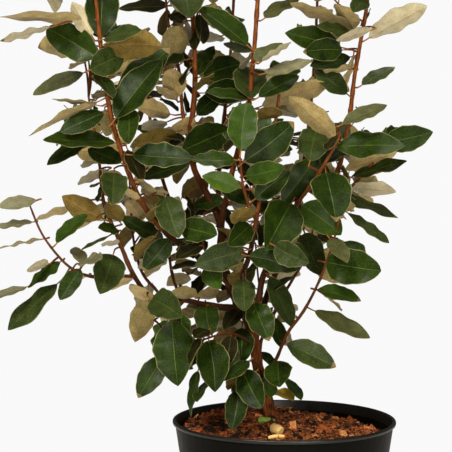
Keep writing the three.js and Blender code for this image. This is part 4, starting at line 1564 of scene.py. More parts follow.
class LeafyMass:
    """A leafy stem: its twigs and leaves, laid by the seeded rule inside its own space."""

    clear = 0.3  # gap that the solids keep between a bough and its stem
    shortest = 8.0  # of a stem
    past_last = 3.0  # how far a stem runs on past what it carries
    on_stem = 6.0  # how near to the axis a thing is carried by it

    def __init__(self, plan: LimbPlan, index: int, space: Space, veil: Veil) -> None:
        """Starts a mass with its stem.

        Args:
            plan: its limb and foliage.
            index: its number, from 1.
            space: what the shrub fills.
            veil: what the set leaves hide.
        """
        self.plan = plan
        self.index = index
        self.space = space
        self.veil = veil
        self.limb = Limb(plan.route, plan.thick)
        self.start = plan.bare + self.clear if plan.bare > 0 else 0.0
        self.twigs: list[Twig] = []
        self.fine: list[Twig] = []
        self.leaves: list[Leaf] = []
        space.add_stem(self.limb.axis(self.start, self.limb.length), index)
        if plan.bare > 0:
            space.add_bare(self.limb.axis(0, plan.bare))

    def last_run(self) -> float:
        """Gives the run at which the stem ends: a little past the last thing that it carries.

        Returns:
            The run.
        """
        carried = [leaf.carrier if leaf.carrier is not None else leaf.root for leaf in self.leaves]
        carried += [twig.point(0.0) for twig in self.twigs + self.fine]
        best = self.start + self.shortest
        for point in carried:
            gaps = np.linalg.norm(self.limb.line - point, axis=1)
            if gaps.min() < self.on_stem:
                best = max(best, float(self.limb.runs[int(np.argmin(gaps))]) + self.past_last)
        return min(best, self.limb.length)

    def free(self, points: Array, apart: float) -> bool:
        """Says whether points are free for this mass."""
        return self.space.free(points, self.index, self.plan.reach, apart)

    def add_leaf(self, bud: Bud, length: float, apart: float = RULE.leaf_apart) -> bool:
        """Lays a leaf where there is room for it.

        Args:
            bud: where it grows.
            length: its length.
            apart: least distance to other leaves.

        Returns:
            Whether it was laid.
        """
        for swing in RULE.tries:
            if bud.outwards(swing)[1] < self.plan.front_leaf:
                continue
            leaf = bud.leaf(swing, length, self.plan.droop)
            points = leaf.samples()
            if self.veil.hides(points) and self.free(points, apart):
                self.leaves.append(leaf)
                self.space.take(points)
                return True
        return False

    def find_twig(self, bud: Bud, length: float, thick: Pair, apart: float = RULE.leaf_apart) -> Twig | None:
        """Finds room for a twig and takes it.

        Args:
            bud: where it grows.
            length: its length.
            thick: its diameters at foot and tip.
            apart: least distance to leaves and twigs.

        Returns:
            The twig, or nothing where there is no room.
        """
        rise = between(RULE.twig_rise, *bud.keys, 4)
        for swing in RULE.tries:
            first = unit(bud.outwards(swing) + bud.heading * rise)
            lift = UP * RULE.twig_lift * length
            route = [bud.root + first * t * length + lift * t * t for t in (0, 0.5, 1)]
            twig = Twig(route, thick)
            points, _ = twig.axis(0.25 * twig.length, twig.length, 10)
            if self.veil.hides(points) and self.free(points, apart):
                self.space.take(points[:-1])
                return twig
        return None

    def dress_twig(self, twig: Twig, bud: Bud) -> int:
        """Lays the leaves of a twig.

        Args:
            twig: the twig.
            bud: where it grows.

        Returns:
            How many were laid.
        """
        laid = 0
        count = round(RULE.twig_leafy * twig.length / RULE.twig_spacing)
        for i in range(count + 1):
            run = (twig.length - RULE.last_leaf) * (1 - RULE.twig_leafy * i / max(count, 1))
            turn = chance(*bud.keys, 5) + math.pi * i
            least, more = RULE.twig_leaf
            size = self.plan.leaf * (RULE.tip_leaf if i == 0 else least + more * chance(*bud.keys, i, 6))
            laid += self.add_leaf(twig.bud(run, turn, (*bud.keys, i, 7), bud.spray), size)
        return laid

    def grow(self) -> None:
        """Lays the mass's main twigs and leaves by the source's rule."""
        plan, limb = self.plan, self.limb
        span = limb.length - self.start - plan.foot - RULE.last_leaf
        nodes = int(span // plan.spacing)
        for k in range(nodes + 1):
            run = limb.length - RULE.last_leaf - span * k / nodes
            share = 1 - k / nodes
            two_ranked = limb.heading(run)[2] < RULE.level
            turn = math.pi * k + chance(self.index, k, 8) - 0.5 if two_ranked else GOLDEN * k + self.index
            fullness = math.sin(math.pi * (RULE.top_full + (1 - RULE.top_full) * share))
            length = plan.twig * fullness * (RULE.twig_draw[0] + RULE.twig_draw[1] * chance(self.index, k, 9))
            bud = limb.bud(run, turn, (self.index, k), self.index * SPRAYS + k)
            if chance(self.index, k, 10) < plan.twiggy and length > RULE.short_twig:
                twig = self.find_twig(bud, length, RULE.twig_thick)
                if twig and self.dress_twig(twig, bud):
                    self.twigs.append(twig)
            else:
                least, more = RULE.stem_leaf
                drawn = least + more * chance(self.index, k, 11)
                self.add_leaf(bud, plan.leaf * (RULE.top_leaf if share > RULE.top else drawn))

    def grow_fine(self) -> None:
        """Carries the rule on to finer twigs and smaller leaves between the main ones."""
        carriers = [(self.limb, self.start + self.plan.foot)] + [(t, 0.3 * t.length) for t in self.twigs]
        for c, (carrier, begin) in enumerate(carriers):
            for k in range(int((carrier.length - begin) // FINE.spacing)):
                keys = (self.index, c, k, FINE.first_draw)
                turn = GOLDEN * k + FINE.turn * c + self.index
                run = carrier.length - (k + 0.6) * FINE.spacing
                bud = carrier.bud(run, turn, keys, self.index * SPRAYS + c + FINE.first_draw)
                if chance(*keys, 12) < FINE.twiggy:
                    self.add_fine_twig(bud)
                else:
                    self.add_leaf(bud, self.plan.leaf * between(FINE.leaf, *keys, 13), FINE.leaf_apart)

    def add_fine_twig(self, bud: Bud) -> None:
        """Lays a fine twig with a leaf at its tip and one on each side.

        Args:
            bud: where it grows.
        """
        twig = self.find_twig(bud, between(FINE.twig, *bud.keys, 14), FINE.twig_thick, FINE.leaf_apart)
        if twig is None:
            return
        laid = 0
        for i, share in enumerate(FINE.leafy):
            size = self.plan.leaf * between(FINE.twig_leaf, *bud.keys, i, 15)
            turn = bud.turn + math.pi * i
            tip = twig.bud(share * twig.length, turn, (*bud.keys, i, 16), bud.spray)
            laid += self.add_leaf(tip, size, FINE.leaf_apart)
        if laid:
            self.fine.append(twig)


# The shrub's pieces


@dataclass
class LeafPattern:
    """A leathery oval leaf: grooved at its rib, wavy at its margins, with a pale rim.

    rows run from the stalk to the tip and columns from one margin to the other. The two outlines
    are the half widths of a pointed and of a blunt leaf.
    """

    rows: Row = (
        0, 0.03, 0.08, 0.14, 0.2, 0.26, 0.32, 0.38, 0.44, 0.5,
        0.56, 0.62, 0.68, 0.74, 0.8, 0.86, 0.92, 0.965, 1)
    knots: Row = (0, 0.035, 0.1, 0.2, 0.32, 0.45, 0.58, 0.7, 0.81, 0.9, 0.96, 1)
    pointed: Row = (0.05, 0.27, 0.52, 0.79, 0.95, 1.0, 0.95, 0.82, 0.62, 0.39, 0.19, 0.02)
    blunt: Row = (0.05, 0.34, 0.62, 0.88, 0.99, 1.0, 0.97, 0.89, 0.74, 0.53, 0.31, 0.03)
    columns: Row = (-1, -0.955, -0.62, -0.3, -0.019, 0.019, 0.3, 0.62, 0.955, 1)
    stalk: float = 0.13  # share of the length
    thick: float = 0.5
    keel: float = 0.5  # how far the rib stands out of the back
    veins: float = 6.5  # side veins on each half
    vein_depth: float = 0.2
    fold: Pair = (0.06, 0.45)
    arch: Pair = (0.0, 0.4)
    wave: Pair = (0.06, 0.3)
    waves: Pair = (1.6, 3.2)
    crimp: float = 0.034  # how uneven the margin is, to the half breadth
    crimps: Pair = (2.4, 5.2)
    sweep: Pair = (-0.12, 0.12)
    twist: Pair = (-0.45, 0.45)
    breadth: Pair = (0.88, 1.12)
    browned: float = 0.16  # share of leaves with a browned tip
    stiff: float = 0.35  # how much of its bow a leaf in plain view keeps
    calm: float = 0.5  # how much of its waves it keeps
    full: float = 1.07  # how much broader it is

    def template(self) -> Array:
        """Gives the quads of one leaf: its upper side, its back, its two margins and its two ends.

        Returns:
            The quads, numbered from the leaf's first point.
        """
        rows, cols = len(self.rows), len(self.columns)
        grid = np.arange(rows * cols).reshape(rows, cols)
        back = grid + rows * cols
        upper = np.stack([grid[:-1, :-1], grid[:-1, 1:], grid[1:, 1:], grid[1:, :-1]], -1).reshape(-1, 4)
        under = np.stack([back[:-1, :-1], back[1:, :-1], back[1:, 1:], back[:-1, 1:]], -1).reshape(-1, 4)
        left = np.stack([grid[:-1, 0], grid[1:, 0], back[1:, 0], back[:-1, 0]], -1)
        right = np.stack([grid[:-1, -1], back[:-1, -1], back[1:, -1], grid[1:, -1]], -1)
        foot = np.stack([grid[0, :-1], back[0, :-1], back[0, 1:], grid[0, 1:]], -1)
        tip = np.stack([grid[-1, :-1], grid[-1, 1:], back[-1, 1:], back[-1, :-1]], -1)
        return np.vstack([upper, under, left, right, foot, tip])

    def finishes(self, leaf: Leaf) -> Array:
        """Gives the finish of each of a leaf's quads.

        Args:
            leaf: the leaf.

        Returns:
            Indices of finishes, in the template's order.
        """
        rows, cols = len(self.rows) - 1, len(self.columns) - 1
        upper = np.full((rows, cols), int(self.upper_tone(leaf)))
        upper[:, cols // 2] = LeafTone.RIB
        upper[:, [0, -1]] = LeafTone.MARGIN
        drawn = BACKS[int(DRAWN_BACKS * chance(leaf.spray, 41))]
        under = np.full((rows, cols), int(leaf.shows if leaf.shows in BACKS else drawn))
        under[:, cols // 2] = LeafTone.BACK_RIB
        if leaf.shows is not LeafTone.YOUNG and chance(*leaf.keys, 42) < self.browned:
            upper[-2:, :] = under[-2:, :] = LeafTone.BROWNED
        edges = np.full(2 * rows + 2 * cols, int(LeafTone.MARGIN))
        return np.concatenate([upper.ravel(), under.ravel(), edges])

    @staticmethod
    def upper_tone(leaf: Leaf) -> LeafTone:
        """Gives the tone of a leaf's upper side, by what is seen of it or by its spray.

        Args:
            leaf: the leaf.

        Returns:
            The tone.
        """
        if leaf.shows not in (None, LeafTone.DEEP, *BACKS):
            return leaf.shows
        draw = 0.7 * chance(leaf.spray, 40) + 0.3 * chance(*leaf.keys, 40)
        if leaf.shows is not None:
            draw = 0.18 + 0.44 * draw
        tones = ((0.34, LeafTone.DARK), (0.62, LeafTone.DEEP), (0.8, LeafTone.FRESH), (1.0, LeafTone.FROSTED))
        return next(name for limit, name in tones if draw <= limit)

    def points(self, leaf: Leaf) -> Array:
        """Gives the points of a leaf, its upper side first.

        Args:
            leaf: the leaf.

        Returns:
            The points, in millimetres.
        """
        def draw(ends: Pair, key: int) -> float:
            """Draws one of the leaf's measures."""
            return between(ends, *leaf.keys, key)

        s = np.array(self.rows)[:, None]
        w = np.array(self.columns)[None, :]
        blunt = chance(*leaf.keys, 43) ** (2 if leaf.shows is None else 3)
        outline = (1 - blunt) * np.array(self.pointed) + blunt * np.array(self.blunt)
        outline = np.interp(self.rows, self.knots, outline)
        half = 0.5 * leaf.width * outline[:, None]
        bow, stir = (1.0, 1.0) if leaf.shows is None else (self.stiff, self.calm)
        half = half * (draw(self.breadth, 44) if leaf.shows is None else self.full)
        blade = leaf.length * (1 - self.stalk)
        phase = math.tau * draw((0, 1), 45)
        uneven = np.sin(math.tau * draw(self.crimps, 53) * s + 3 * phase + 2.1 * np.sign(w))
        across = w * half * (1 + self.crimp * uneven * w**2)
        ripple = np.sin(math.tau * draw(self.waves, 46) * s + phase + 0.9 * np.sign(w))
        lift = draw(self.fold, 47) * np.abs(across) + bow * draw(self.arch, 48) * blade * (s - s**2)
        lift = leaf.open * lift + stir * draw(self.wave, 49) * half * np.abs(w) ** 1.6 * ripple
        ribs = np.cos(math.tau * (self.veins * s - 1.1 * np.abs(w)))
        lift = lift + self.vein_depth * ribs * np.sqrt(np.abs(w)) * (1 - w**2)
        angle = draw(self.twist, 51) * s
        sideways = across * np.cos(angle) - lift * np.sin(angle) + draw(self.sweep, 52) * blade * (s**2 - s)
        lift = across * np.sin(angle) + lift * np.cos(angle)
        ahead = np.broadcast_to(leaf.length * self.stalk + blade * s, across.shape)
        ridge = np.where(np.abs(w) < 0.1, self.keel, 0.0) * (1 - 0.7 * s)

        def placed(height: Array) -> Array:
            """Sets the leaf's grid out at its place.

            Args:
                height: how far each point stands off the blade.

            Returns:
                The points.
            """
            grid = (leaf.root + ahead[..., None] * leaf.along + sideways[..., None] * leaf.side
                    + height[..., None] * leaf.face)
            return grid.reshape(-1, 3)

        return np.vstack([placed(lift + 0.5 * self.thick), placed(lift - 0.5 * self.thick - ridge)])


class Foliage:
    """All leafy masses of the crown."""

    stem_sides, twig_sides, stalk_sides = 10, 7, 6
    joint_bend = 0.14  # to the joint's length
    joint_radii = (1.15, 1.1)
    joint_gain, longest_gain = 0.006, 60  # how much thicker the foot is for each millimetre of its length
    joint_step = 4
    least_joint = 2
    stalk_shares = (0, 0.35, 0.7, 1.0, 1.35)  # of the stalk's length
    stalk_radii = (1.15, 0.95, 0.85, 0.8, 0.45)
    stalk_sag = 0.35

    def __init__(self, plans: Sequence[LimbPlan], trunk: Limb) -> None:
        """Grows every mass, when every stem is known.

        Args:
            plans: the limbs and their foliage.
            trunk: the trunk, which nothing may touch.
        """
        self.pattern = LeafPattern()
        self.space = Space()
        self.space.add_bare(trunk.axis(0, trunk.length))
        view = View()
        self.veil = Veil(view)
        self.masses = [LeafyMass(plan, i + 1, self.space, self.veil) for i, plan in enumerate(plans)]
        self.set_leaves(LeafSetter(view, self.masses, self.pattern.stalk))
        for mass in self.masses:
            mass.grow()
        for mass in self.masses:
            mass.grow_fine()

    def set_leaves(self, setter: LeafSetter) -> None:
        """Sets the leaves that the picture shows, and draws the veil before what they hide.

        Args:
            setter: finds each leaf's place.
        """
        columns = len(self.pattern.columns)
        for row, shows in ((row, shows) for shows, group in SET_LEAVES.items() for row in group):
            mass, leaf = setter.place(row, shows)
            mass.leaves.append(leaf)
            self.space.take(leaf.samples())
            grid = self.pattern.points(leaf)[: len(self.pattern.rows) * columns].reshape(-1, columns, 3)
            outline = np.vstack([grid[:, 0], grid[::-1, -1]])
            self.veil.add(outline, float(outline[:, 1].mean()))

    def build(self) -> None:
        """Makes the leaves and twigs of every mass."""
        for mass in self.masses:
            node = f"{mass.plan.name}_foliage"
            set_out(self.leaves(mass), Slot.FOLIAGE, node)
            set_out(self.twigs(mass), Slot.BARK, node)
        LOG.info("leaves: %d", sum(len(mass.leaves) for mass in self.masses))

    def leaves(self, mass: LeafyMass) -> Piece:
        """Makes the joined leaves of a mass.

        Args:
            mass: the mass.

        Returns:
            The new object.
        """
        arrays = MeshArrays()
        template = self.pattern.template()
        for leaf in mass.leaves:
            arrays.add(self.pattern.points(leaf), [template], self.pattern.finishes(leaf))
        finishes = [LEAF_FINISHES[name] for name in LeafTone]
        return arrays.make(f"{mass.plan.name}_leaves", finishes, crease=55)

    def twigs(self, mass: LeafyMass) -> Piece:
        """Makes the joined stem, twigs and leaf stalks of a mass.

        Args:
            mass: the mass.

        Returns:
            The new object.
        """
        arrays = MeshArrays()
        start = max(mass.start - 2, 0)
        path, radii = mass.limb.axis(start, mass.last_run(), 4)
        noise = SoftNoise(SEED + mass.index)
        relief = stem_relief(path, radii, self.stem_sides, noise)
        arrays.add(*tube(path, radii, self.stem_sides, relief), WoodTone.STEM)
        for twig in mass.twigs + mass.fine:
            path, radii = twig.axis(0, twig.length, 5)
            arrays.add(*tube(path, radii, self.twig_sides), WoodTone.STEM)
        for leaf in mass.leaves:
            path, radii = self.stalk(leaf)
            arrays.add(*tube(path, radii, self.stalk_sides), WoodTone.STALK)
            if leaf.carrier is not None and np.linalg.norm(leaf.carrier - leaf.root) > self.least_joint:
                arrays.add(*self.joint(leaf), WoodTone.STEM)
        return arrays.make(f"{mass.plan.name}_twigs", [STEM_BARK, STALK_BARK], crease=70)

    def joint(self, leaf: Leaf) -> Form:
        """Makes the fine twig that joins a set leaf to its stem, bent towards the leaf.

        Args:
            leaf: the leaf.

        Returns:
            Its points and faces.
        """
        gap = float(np.linalg.norm(leaf.carrier - leaf.root))
        bend = 0.5 * (leaf.carrier + leaf.root) + (self.joint_bend * UP - self.joint_bend * leaf.along) * gap
        t = np.linspace(0, 1, max(4, round(gap / self.joint_step)))[:, None]
        path = (1 - t) ** 2 * leaf.carrier + 2 * t * (1 - t) * bend + t**2 * leaf.root
        foot = self.joint_radii[0] + min(gap, self.longest_gain) * self.joint_gain
        return tube(path, np.linspace(foot, self.joint_radii[1], len(path)), self.twig_sides)

    def stalk(self, leaf: Leaf) -> Axis:
        """Gives the axis and radii of a leaf's stalk, which runs on a little under the blade.

        Args:
            leaf: the leaf.

        Returns:
            The axis and the radii.
        """
        reach = leaf.length * self.pattern.stalk
        t = np.array(self.stalk_shares)
        sag = -self.stalk_sag * np.sin(math.pi * np.minimum(t, 1)) - self.stalk_sag * (t > 1)
        path = leaf.root + np.outer(t * reach, leaf.along) + np.outer(sag, leaf.face)
        return path, np.array(self.stalk_radii)


def stem_relief(path: Array, radii: Array, sides: int, noise: SoftNoise) -> Array:
    """Gives the small bumps and nodes of a young stem.

    Args:
        path: its axis.
        radii: its radius at each point.
        sides: points round it.
        noise: the noise to read.

    Returns:
        How far each point stands out.
    """
    runs = np.arange(len(path))[:, None] * 0.7
    turn = np.arange(sides)[None, :] * 6 / sides
    rough = noise.at(turn + 0 * runs, runs + 0 * turn, 6)
    knots = np.maximum(0, noise.at(0 * runs + 20, 0.5 * runs)) ** 2
    return radii[:, None] * (0.1 * rough + 0.28 * knots)


@dataclass
class Wood:
    """The trunk and the bare boughs, with the relief of their bark."""

    trunk_route: Sequence[Point] = (
        (-18, 12, 226), (-22, 12, 257), (-33, 11, 297), (-36, 10, 322), (-41, 9, 347))
    trunk_thick: Pair = (15.5, 12.5)
    flare: float = 9.0
    flare_height: float = 26.0
    trunk_sides: int = 44
    bough_sides: int = 24
    collar: float = 0.45  # how much thicker a bough starts
    collar_length: float = 9.0
    flute: float = 0.16  # this and the next heights are to the radius
    flutes: int = 5
    flute_length: float = 22.0
    string: float = 0.09
    crack: float = 0.07
    lump: float = 0.1
    bough_string: float = 0.07
    scar: float = 0.4

    def trunk(self) -> Limb:
        """Gives the trunk's limb."""
        return Limb(self.trunk_route, self.trunk_thick, self.flare, self.flare_height)

    def build(self, masses: Sequence[LeafyMass]) -> None:
        """Makes the trunk and each mass's bough.

        Args:
            masses: the leafy masses, whose limbs begin as boughs.
        """
        set_out(self.bark_of_trunk(), Slot.BARK, "trunk")
        for mass in masses:
            if mass.plan.bare > 0:
                set_out(self.bark_of_bough(mass), Slot.BARK, f"{mass.plan.name}_bough")

    def bark_of_trunk(self) -> Piece:
        """Makes the trunk's bark: flutes at the foot, long stringy ridges, and a few knots.

        Returns:
            The new object.
        """
        limb = self.trunk()
        path, radii = limb.axis(0, limb.length, 1.6)
        runs = np.linspace(0, limb.length, len(path))[:, None]
        turn = np.linspace(0, 1, self.trunk_sides, endpoint=False)[None, :]
        noise = SoftNoise(SEED)
        flutes = self.flute * np.cos(math.tau * (self.flutes * turn + 0.004 * runs))
        flutes = flutes * np.exp(-runs / self.flute_length)
        strings = noise.at(16 * turn + 0.02 * runs, 0.045 * runs + 0 * turn, 16)
        cracks = noise.at(30 * turn + 0.03 * runs, 0.16 * runs + 7 + 0 * turn, 30)
        lumps = noise.at(4 * turn + 0 * runs, 0.05 * runs + 31 + 0 * turn, 4)
        relief = flutes + self.string * strings + self.crack * cracks + self.lump * lumps
        arrays = MeshArrays()
        arrays.add(*tube(path, radii, self.trunk_sides, radii[:, None] * relief))
        return arrays.make("trunk_bark", [OLD_BARK], crease=75)

    def bark_of_bough(self, mass: LeafyMass) -> Piece:
        """Makes a bough's bark: a collar at its foot, fine ridges, and old leaf scars.

        Args:
            mass: the mass that it carries.

        Returns:
            The new object.
        """
        limb, bare = mass.limb, mass.plan.bare
        path, radii = limb.axis(0, bare, 2.4)
        runs = np.linspace(0, bare, len(path))[:, None]
        turn = np.linspace(0, 1, self.bough_sides, endpoint=False)[None, :]
        noise = SoftNoise(SEED + 100 + mass.index)
        swell = self.collar * np.exp(-runs / self.collar_length)
        strings = noise.at(10 * turn + 0 * runs, 0.06 * runs + 0 * turn, 10)
        scars = np.maximum(0, noise.at(3 * turn + 0 * runs, 0.11 * runs + 0 * turn, 3)) ** 3
        relief = swell + self.bough_string * strings + self.scar * scars + 0 * turn
        arrays = MeshArrays()
        arrays.add(*tube(path, radii, self.bough_sides, radii[:, None] * relief))
        return arrays.make(f"{mass.plan.name}_bark", [BOUGH_BARK], crease=75)


@dataclass
class Pot:
    """A round nursery pot of thin black plastic, with a rolled lip and drain holes."""

    height: float = 232.5
    rim_radius: float = 141.5
    lip: float = 2.4
    lip_height: float = 5.0
    foot_radius: float = 104.0
    wall: float = 2.2
    floor: float = 3.0
    sides: int = 144
    drains: int = 6
    drain_radius: float = 8.0
    drain_circle: float = 80.0
    drain_sides: int = 24

    def outer(self, z: float) -> float:
        """Gives the outer radius of the wall at a height."""
        return self.foot_radius + (self.rim_radius - self.lip - self.foot_radius) * z / self.height

    def inner(self, z: float) -> float:
        """Gives the inner radius of the wall at a height."""
        return self.outer(z) - self.wall

    def profile(self) -> list[Pair]:
        """Gives radius and height along the pot's section, from the floor's underside to its top.

        Returns:
            Pairs of radius and height.
        """
        foot, top, lip = self.foot_radius, self.height, self.lip_height
        under = top - lip
        bead = [
            (self.rim_radius - 1.4 + 1.4 * math.sin(a), under + 1.6 - 1.6 * math.cos(a))
            for a in np.linspace(0.1, math.pi / 2, 5)]
        crown = [
            (self.rim_radius - 2 + 2 * math.cos(a), top - 2 + 2 * math.sin(a))
            for a in np.linspace(0, math.pi / 2, 7)]
        heel = [(foot - 4 + 4 * math.sin(a), 4 - 4 * math.cos(a)) for a in np.linspace(0, math.pi / 2, 6)]
        walls = [(self.outer(z), z) for z in (12, 30, 60, 100, 140, 180, 205, 226)]
        mouth = self.inner(top)
        inside = [(mouth + 1.6, top), (mouth + 0.5, top - 0.5), (mouth, top - 2)]
        inside += [(self.inner(z), z) for z in (220, 205, 180, 140, 100, 60, 30, self.floor + 5)]
        bottom = [(self.inner(self.floor) - 3, self.floor + 0.6), (self.inner(self.floor) - 6, self.floor)]
        return heel + walls + bead + crown + inside + bottom

    def build(self) -> None:
        """Makes the pot's shell with its drain holes."""
        arrays = MeshArrays()
        around = round_about(self.sides)
        profile = np.array(self.profile())
        points = profile[:, 0, None, None] * around + profile[:, 1, None, None] * UP
        lip = np.repeat(profile[:-1, 1] > self.height - self.lip_height, self.sides).astype(int)
        arrays.add(points.reshape(-1, 3), [ring_faces(len(profile), self.sides)], lip)
        self.add_floor(arrays, profile, around)
        set_out(arrays.make("pot_shell", [PlasticFinish(), LIP_PLASTIC], crease=40), Slot.POT, "pot")

    def drain(self, number: int, level: float) -> tuple[Array, Array]:
        """Gives the middle of a drain hole and the points of its edge.

        Args:
            number: which hole.
            level: the height.

        Returns:
            The middle and the edge.
        """
        turn = (number + 0.5) * (math.tau / self.drains)
        hole = np.array([self.drain_circle * math.cos(turn), self.drain_circle * math.sin(turn), level])
        return hole, hole + self.drain_radius * round_about(self.drain_sides)

    def add_floor(self, arrays: MeshArrays, profile: Array, around: Array) -> None:
        """Closes the pot's floor, leaving its drain holes open.

        Args:
            arrays: gathers the pot.
            profile: radius and height along its section.
            around: unit directions round it.
        """
        share = self.sides // self.drains
        for (radius, level), looks_up in ((profile[0], False), (profile[-1], True)):
            rim = radius * around + level * UP
            for d in range(self.drains):
                hole, edge = self.drain(d, level)
                arc = rim[np.arange(d * share, (d + 1) * share + 1) % self.sides]
                self.add_web(arrays, np.vstack([arc, level * UP]), hole, edge, looks_up)
        for d in range(self.drains):
            wall = np.vstack([self.drain(d, level)[1] for level in profile[[0, -1], 1]])
            arrays.add(wall, [ring_faces(2, self.drain_sides)[:, ::-1]])

    def add_web(self, arrays: MeshArrays, border: Array, hole: Array, edge: Array, looks_up: bool) -> None:
        """Fills one wedge of the floor between its border and its drain hole.

        Args:
            arrays: gathers the pot.
            border: points of the wedge, its tip last.
            hole: the hole's middle.
            edge: points of the hole's edge.
            looks_up: whether the floor is seen from above.
        """
        def angle(points: Array) -> Array:
            """Gives each point's direction from the hole's middle."""
            return np.arctan2(points[:, 1] - hole[1], points[:, 0] - hole[0])

        outer = border[np.argsort(angle(border))]
        inner = edge[np.argsort(angle(edge))]
        a, b = angle(outer), angle(inner)
        i = j = 0
        faces = []
        while i < len(outer) or j < len(inner):
            here, there = i % len(outer), len(outer) + j % len(inner)
            step_outer = j >= len(inner) or (i < len(outer) and a[i] <= b[j])
            if step_outer:
                faces.append((here, (i + 1) % len(outer), there))
                i += 1
            else:
                faces.append((here, len(outer) + (j + 1) % len(inner), there))
                j += 1
        triangles = np.array(faces)
        arrays.add(np.vstack([outer, inner]), [triangles if looks_up else triangles[:, ::-1]])


@dataclass
class Substrate:
    """Coir and bark mulch: a dark crumbly bed with chips and fibres on it."""

    pot: Pot
    level: float = 213.0
    heap: float = 18.0
    heap_spread: float = 46.0
    heap_foot: float = 16.0
    tilt: float = 8.0
    lumps: float = 1.8
    trunk_foot: Pair = (-18.0, 12.0)
    rings: int = 70
    spokes: int = 200
    chips: int = 4600
    fibres: int = 3600

    def ground(self, x: Array, y: Array) -> Array:
        """Gives the height of the bed's top.

        Args:
            x: places across.
            y: places in depth.

        Returns:
            The heights.
        """
        away = np.hypot(x - self.trunk_foot[0], y - self.trunk_foot[1])
        heap = self.heap * np.exp(-0.5 * (np.maximum(away - self.heap_foot, 0) / self.heap_spread) ** 2)
        tilt = self.tilt * (y - 1.2 * x) / (1.6 * self.pot.rim_radius)
        return self.level + heap + tilt + self.lumps * np.sin(0.09 * x + 1) * np.sin(0.11 * y + 2)

    def build(self) -> None:
        """Makes the bed, its chips, its fibres and the cut stubs by the trunk."""
        set_out(self.bed(), Slot.SUBSTRATE, "substrate")
        set_out(self.scatter_chips(), Slot.SUBSTRATE)
        set_out(self.scatter_fibres(), Slot.SUBSTRATE)
        set_out(self.cut_stubs(), Slot.SUBSTRATE)

    def bed(self) -> Piece:
        """Makes the bed: its crumbly top and the plain sides that the pot hides.

        Returns:
            The new object.
        """
        noise = SoftNoise(SEED + 7)
        share = np.linspace(0.004, 1, self.rings)[:, None]
        turn = np.linspace(0, math.tau, self.spokes, endpoint=False)[None, :]
        edge = self.pot.inner(self.level) - 0.6
        x, y = share * edge * np.cos(turn), share * edge * np.sin(turn)
        crumbs = 1.5 * noise.at(0.16 * x + 50, 0.16 * y + 50) + 1.1 * noise.at(0.45 * x + 80, 0.45 * y + 80)
        z = self.ground(x, y) - 1.5 + crumbs
        low, high = self.pot.inner(0), self.pot.inner(self.pot.height)
        room = low + (z / self.pot.height) * (high - low) - 0.5
        fit = np.minimum(1, room / np.maximum(np.hypot(x, y), 1))
        top = np.stack([x * fit, y * fit, z], -1)
        base = self.pot.floor + 0.4
        foot = (self.pot.inner(base + 6) - 1) * np.stack([np.cos(turn[0]), np.sin(turn[0]), 0 * turn[0]], -1)
        under = np.stack([foot + (base + 6) * UP, 0.96 * foot + base * UP])
        points = np.vstack([under[1], under[0], top[::-1].reshape(-1, 3)])
        middle = np.array([[0, 0, base], [0, 0, float(self.ground(0.0, 0.0)) - 1.5]])
        rows = self.rings + 2
        caps = np.vstack([cap_faces(0, self.spokes, rows * self.spokes, False),
                          cap_faces((rows - 1) * self.spokes, self.spokes, rows * self.spokes + 1, True)])
        arrays = MeshArrays()
        arrays.add(np.vstack([points, middle]), [ring_faces(rows, self.spokes), caps], CrumbTone.PEAT)
        return arrays.make("substrate_bed", CRUMBS, crease=80)

    def places(self, draw: np.random.Generator, count: int, clear: float) -> Array:
        """Draws points on the bed, inside the wall and off the trunk.

        Args:
            draw: the draws to use.
            count: how many.
            clear: distance kept from the wall.

        Returns:
            The points.
        """
        turn = draw.uniform(0, math.tau, count)
        away = (self.pot.inner(self.level) - clear) * np.sqrt(draw.uniform(0, 1, count))
        x, y = away * np.cos(turn), away * np.sin(turn)
        off = np.hypot(x - self.trunk_foot[0], y - self.trunk_foot[1]) > 12
        return np.stack([x, y, self.ground(x, y)], -1)[off]

    def scatter_chips(self) -> Piece:
        """Makes bark chips: small angular flakes that lie every way.

        Returns:
            The new object.
        """
        draw = np.random.default_rng(SEED + 8)
        corners = np.array([(i, j, k) for i in (-1, 1) for j in (-1, 1) for k in (-1, 1)], float)
        quads = np.array([(0, 1, 3, 2), (4, 6, 7, 5), (0, 4, 5, 1), (2, 3, 7, 6), (0, 2, 6, 4), (1, 5, 7, 3)])
        arrays = MeshArrays()
        tones = (CrumbTone.RUST, CrumbTone.UMBER, CrumbTone.TAN, CrumbTone.PEAT)
        for place in self.places(draw, self.chips, 7):
            long = float(np.clip(draw.lognormal(0.72, 0.55), 1.0, 9.0))
            size = np.array([long, long * draw.uniform(0.35, 0.8), long * draw.uniform(0.15, 0.4)])
            form = corners * size * draw.uniform(0.55, 1.15, (8, 3))
            tilt, spin = draw.normal(0, 0.45, 2), draw.uniform(0, math.tau)
            form = form @ turn_about(spin, *tilt).T
            lift = 0.25 * size[2] + draw.uniform(-0.6, 2.2)
            finish = int(draw.choice(tones, p=(0.33, 0.26, 0.09, 0.32)))
            arrays.add(place + form + lift * UP, [quads], finish)
        return arrays.make("substrate_chips", CRUMBS, crease=30)

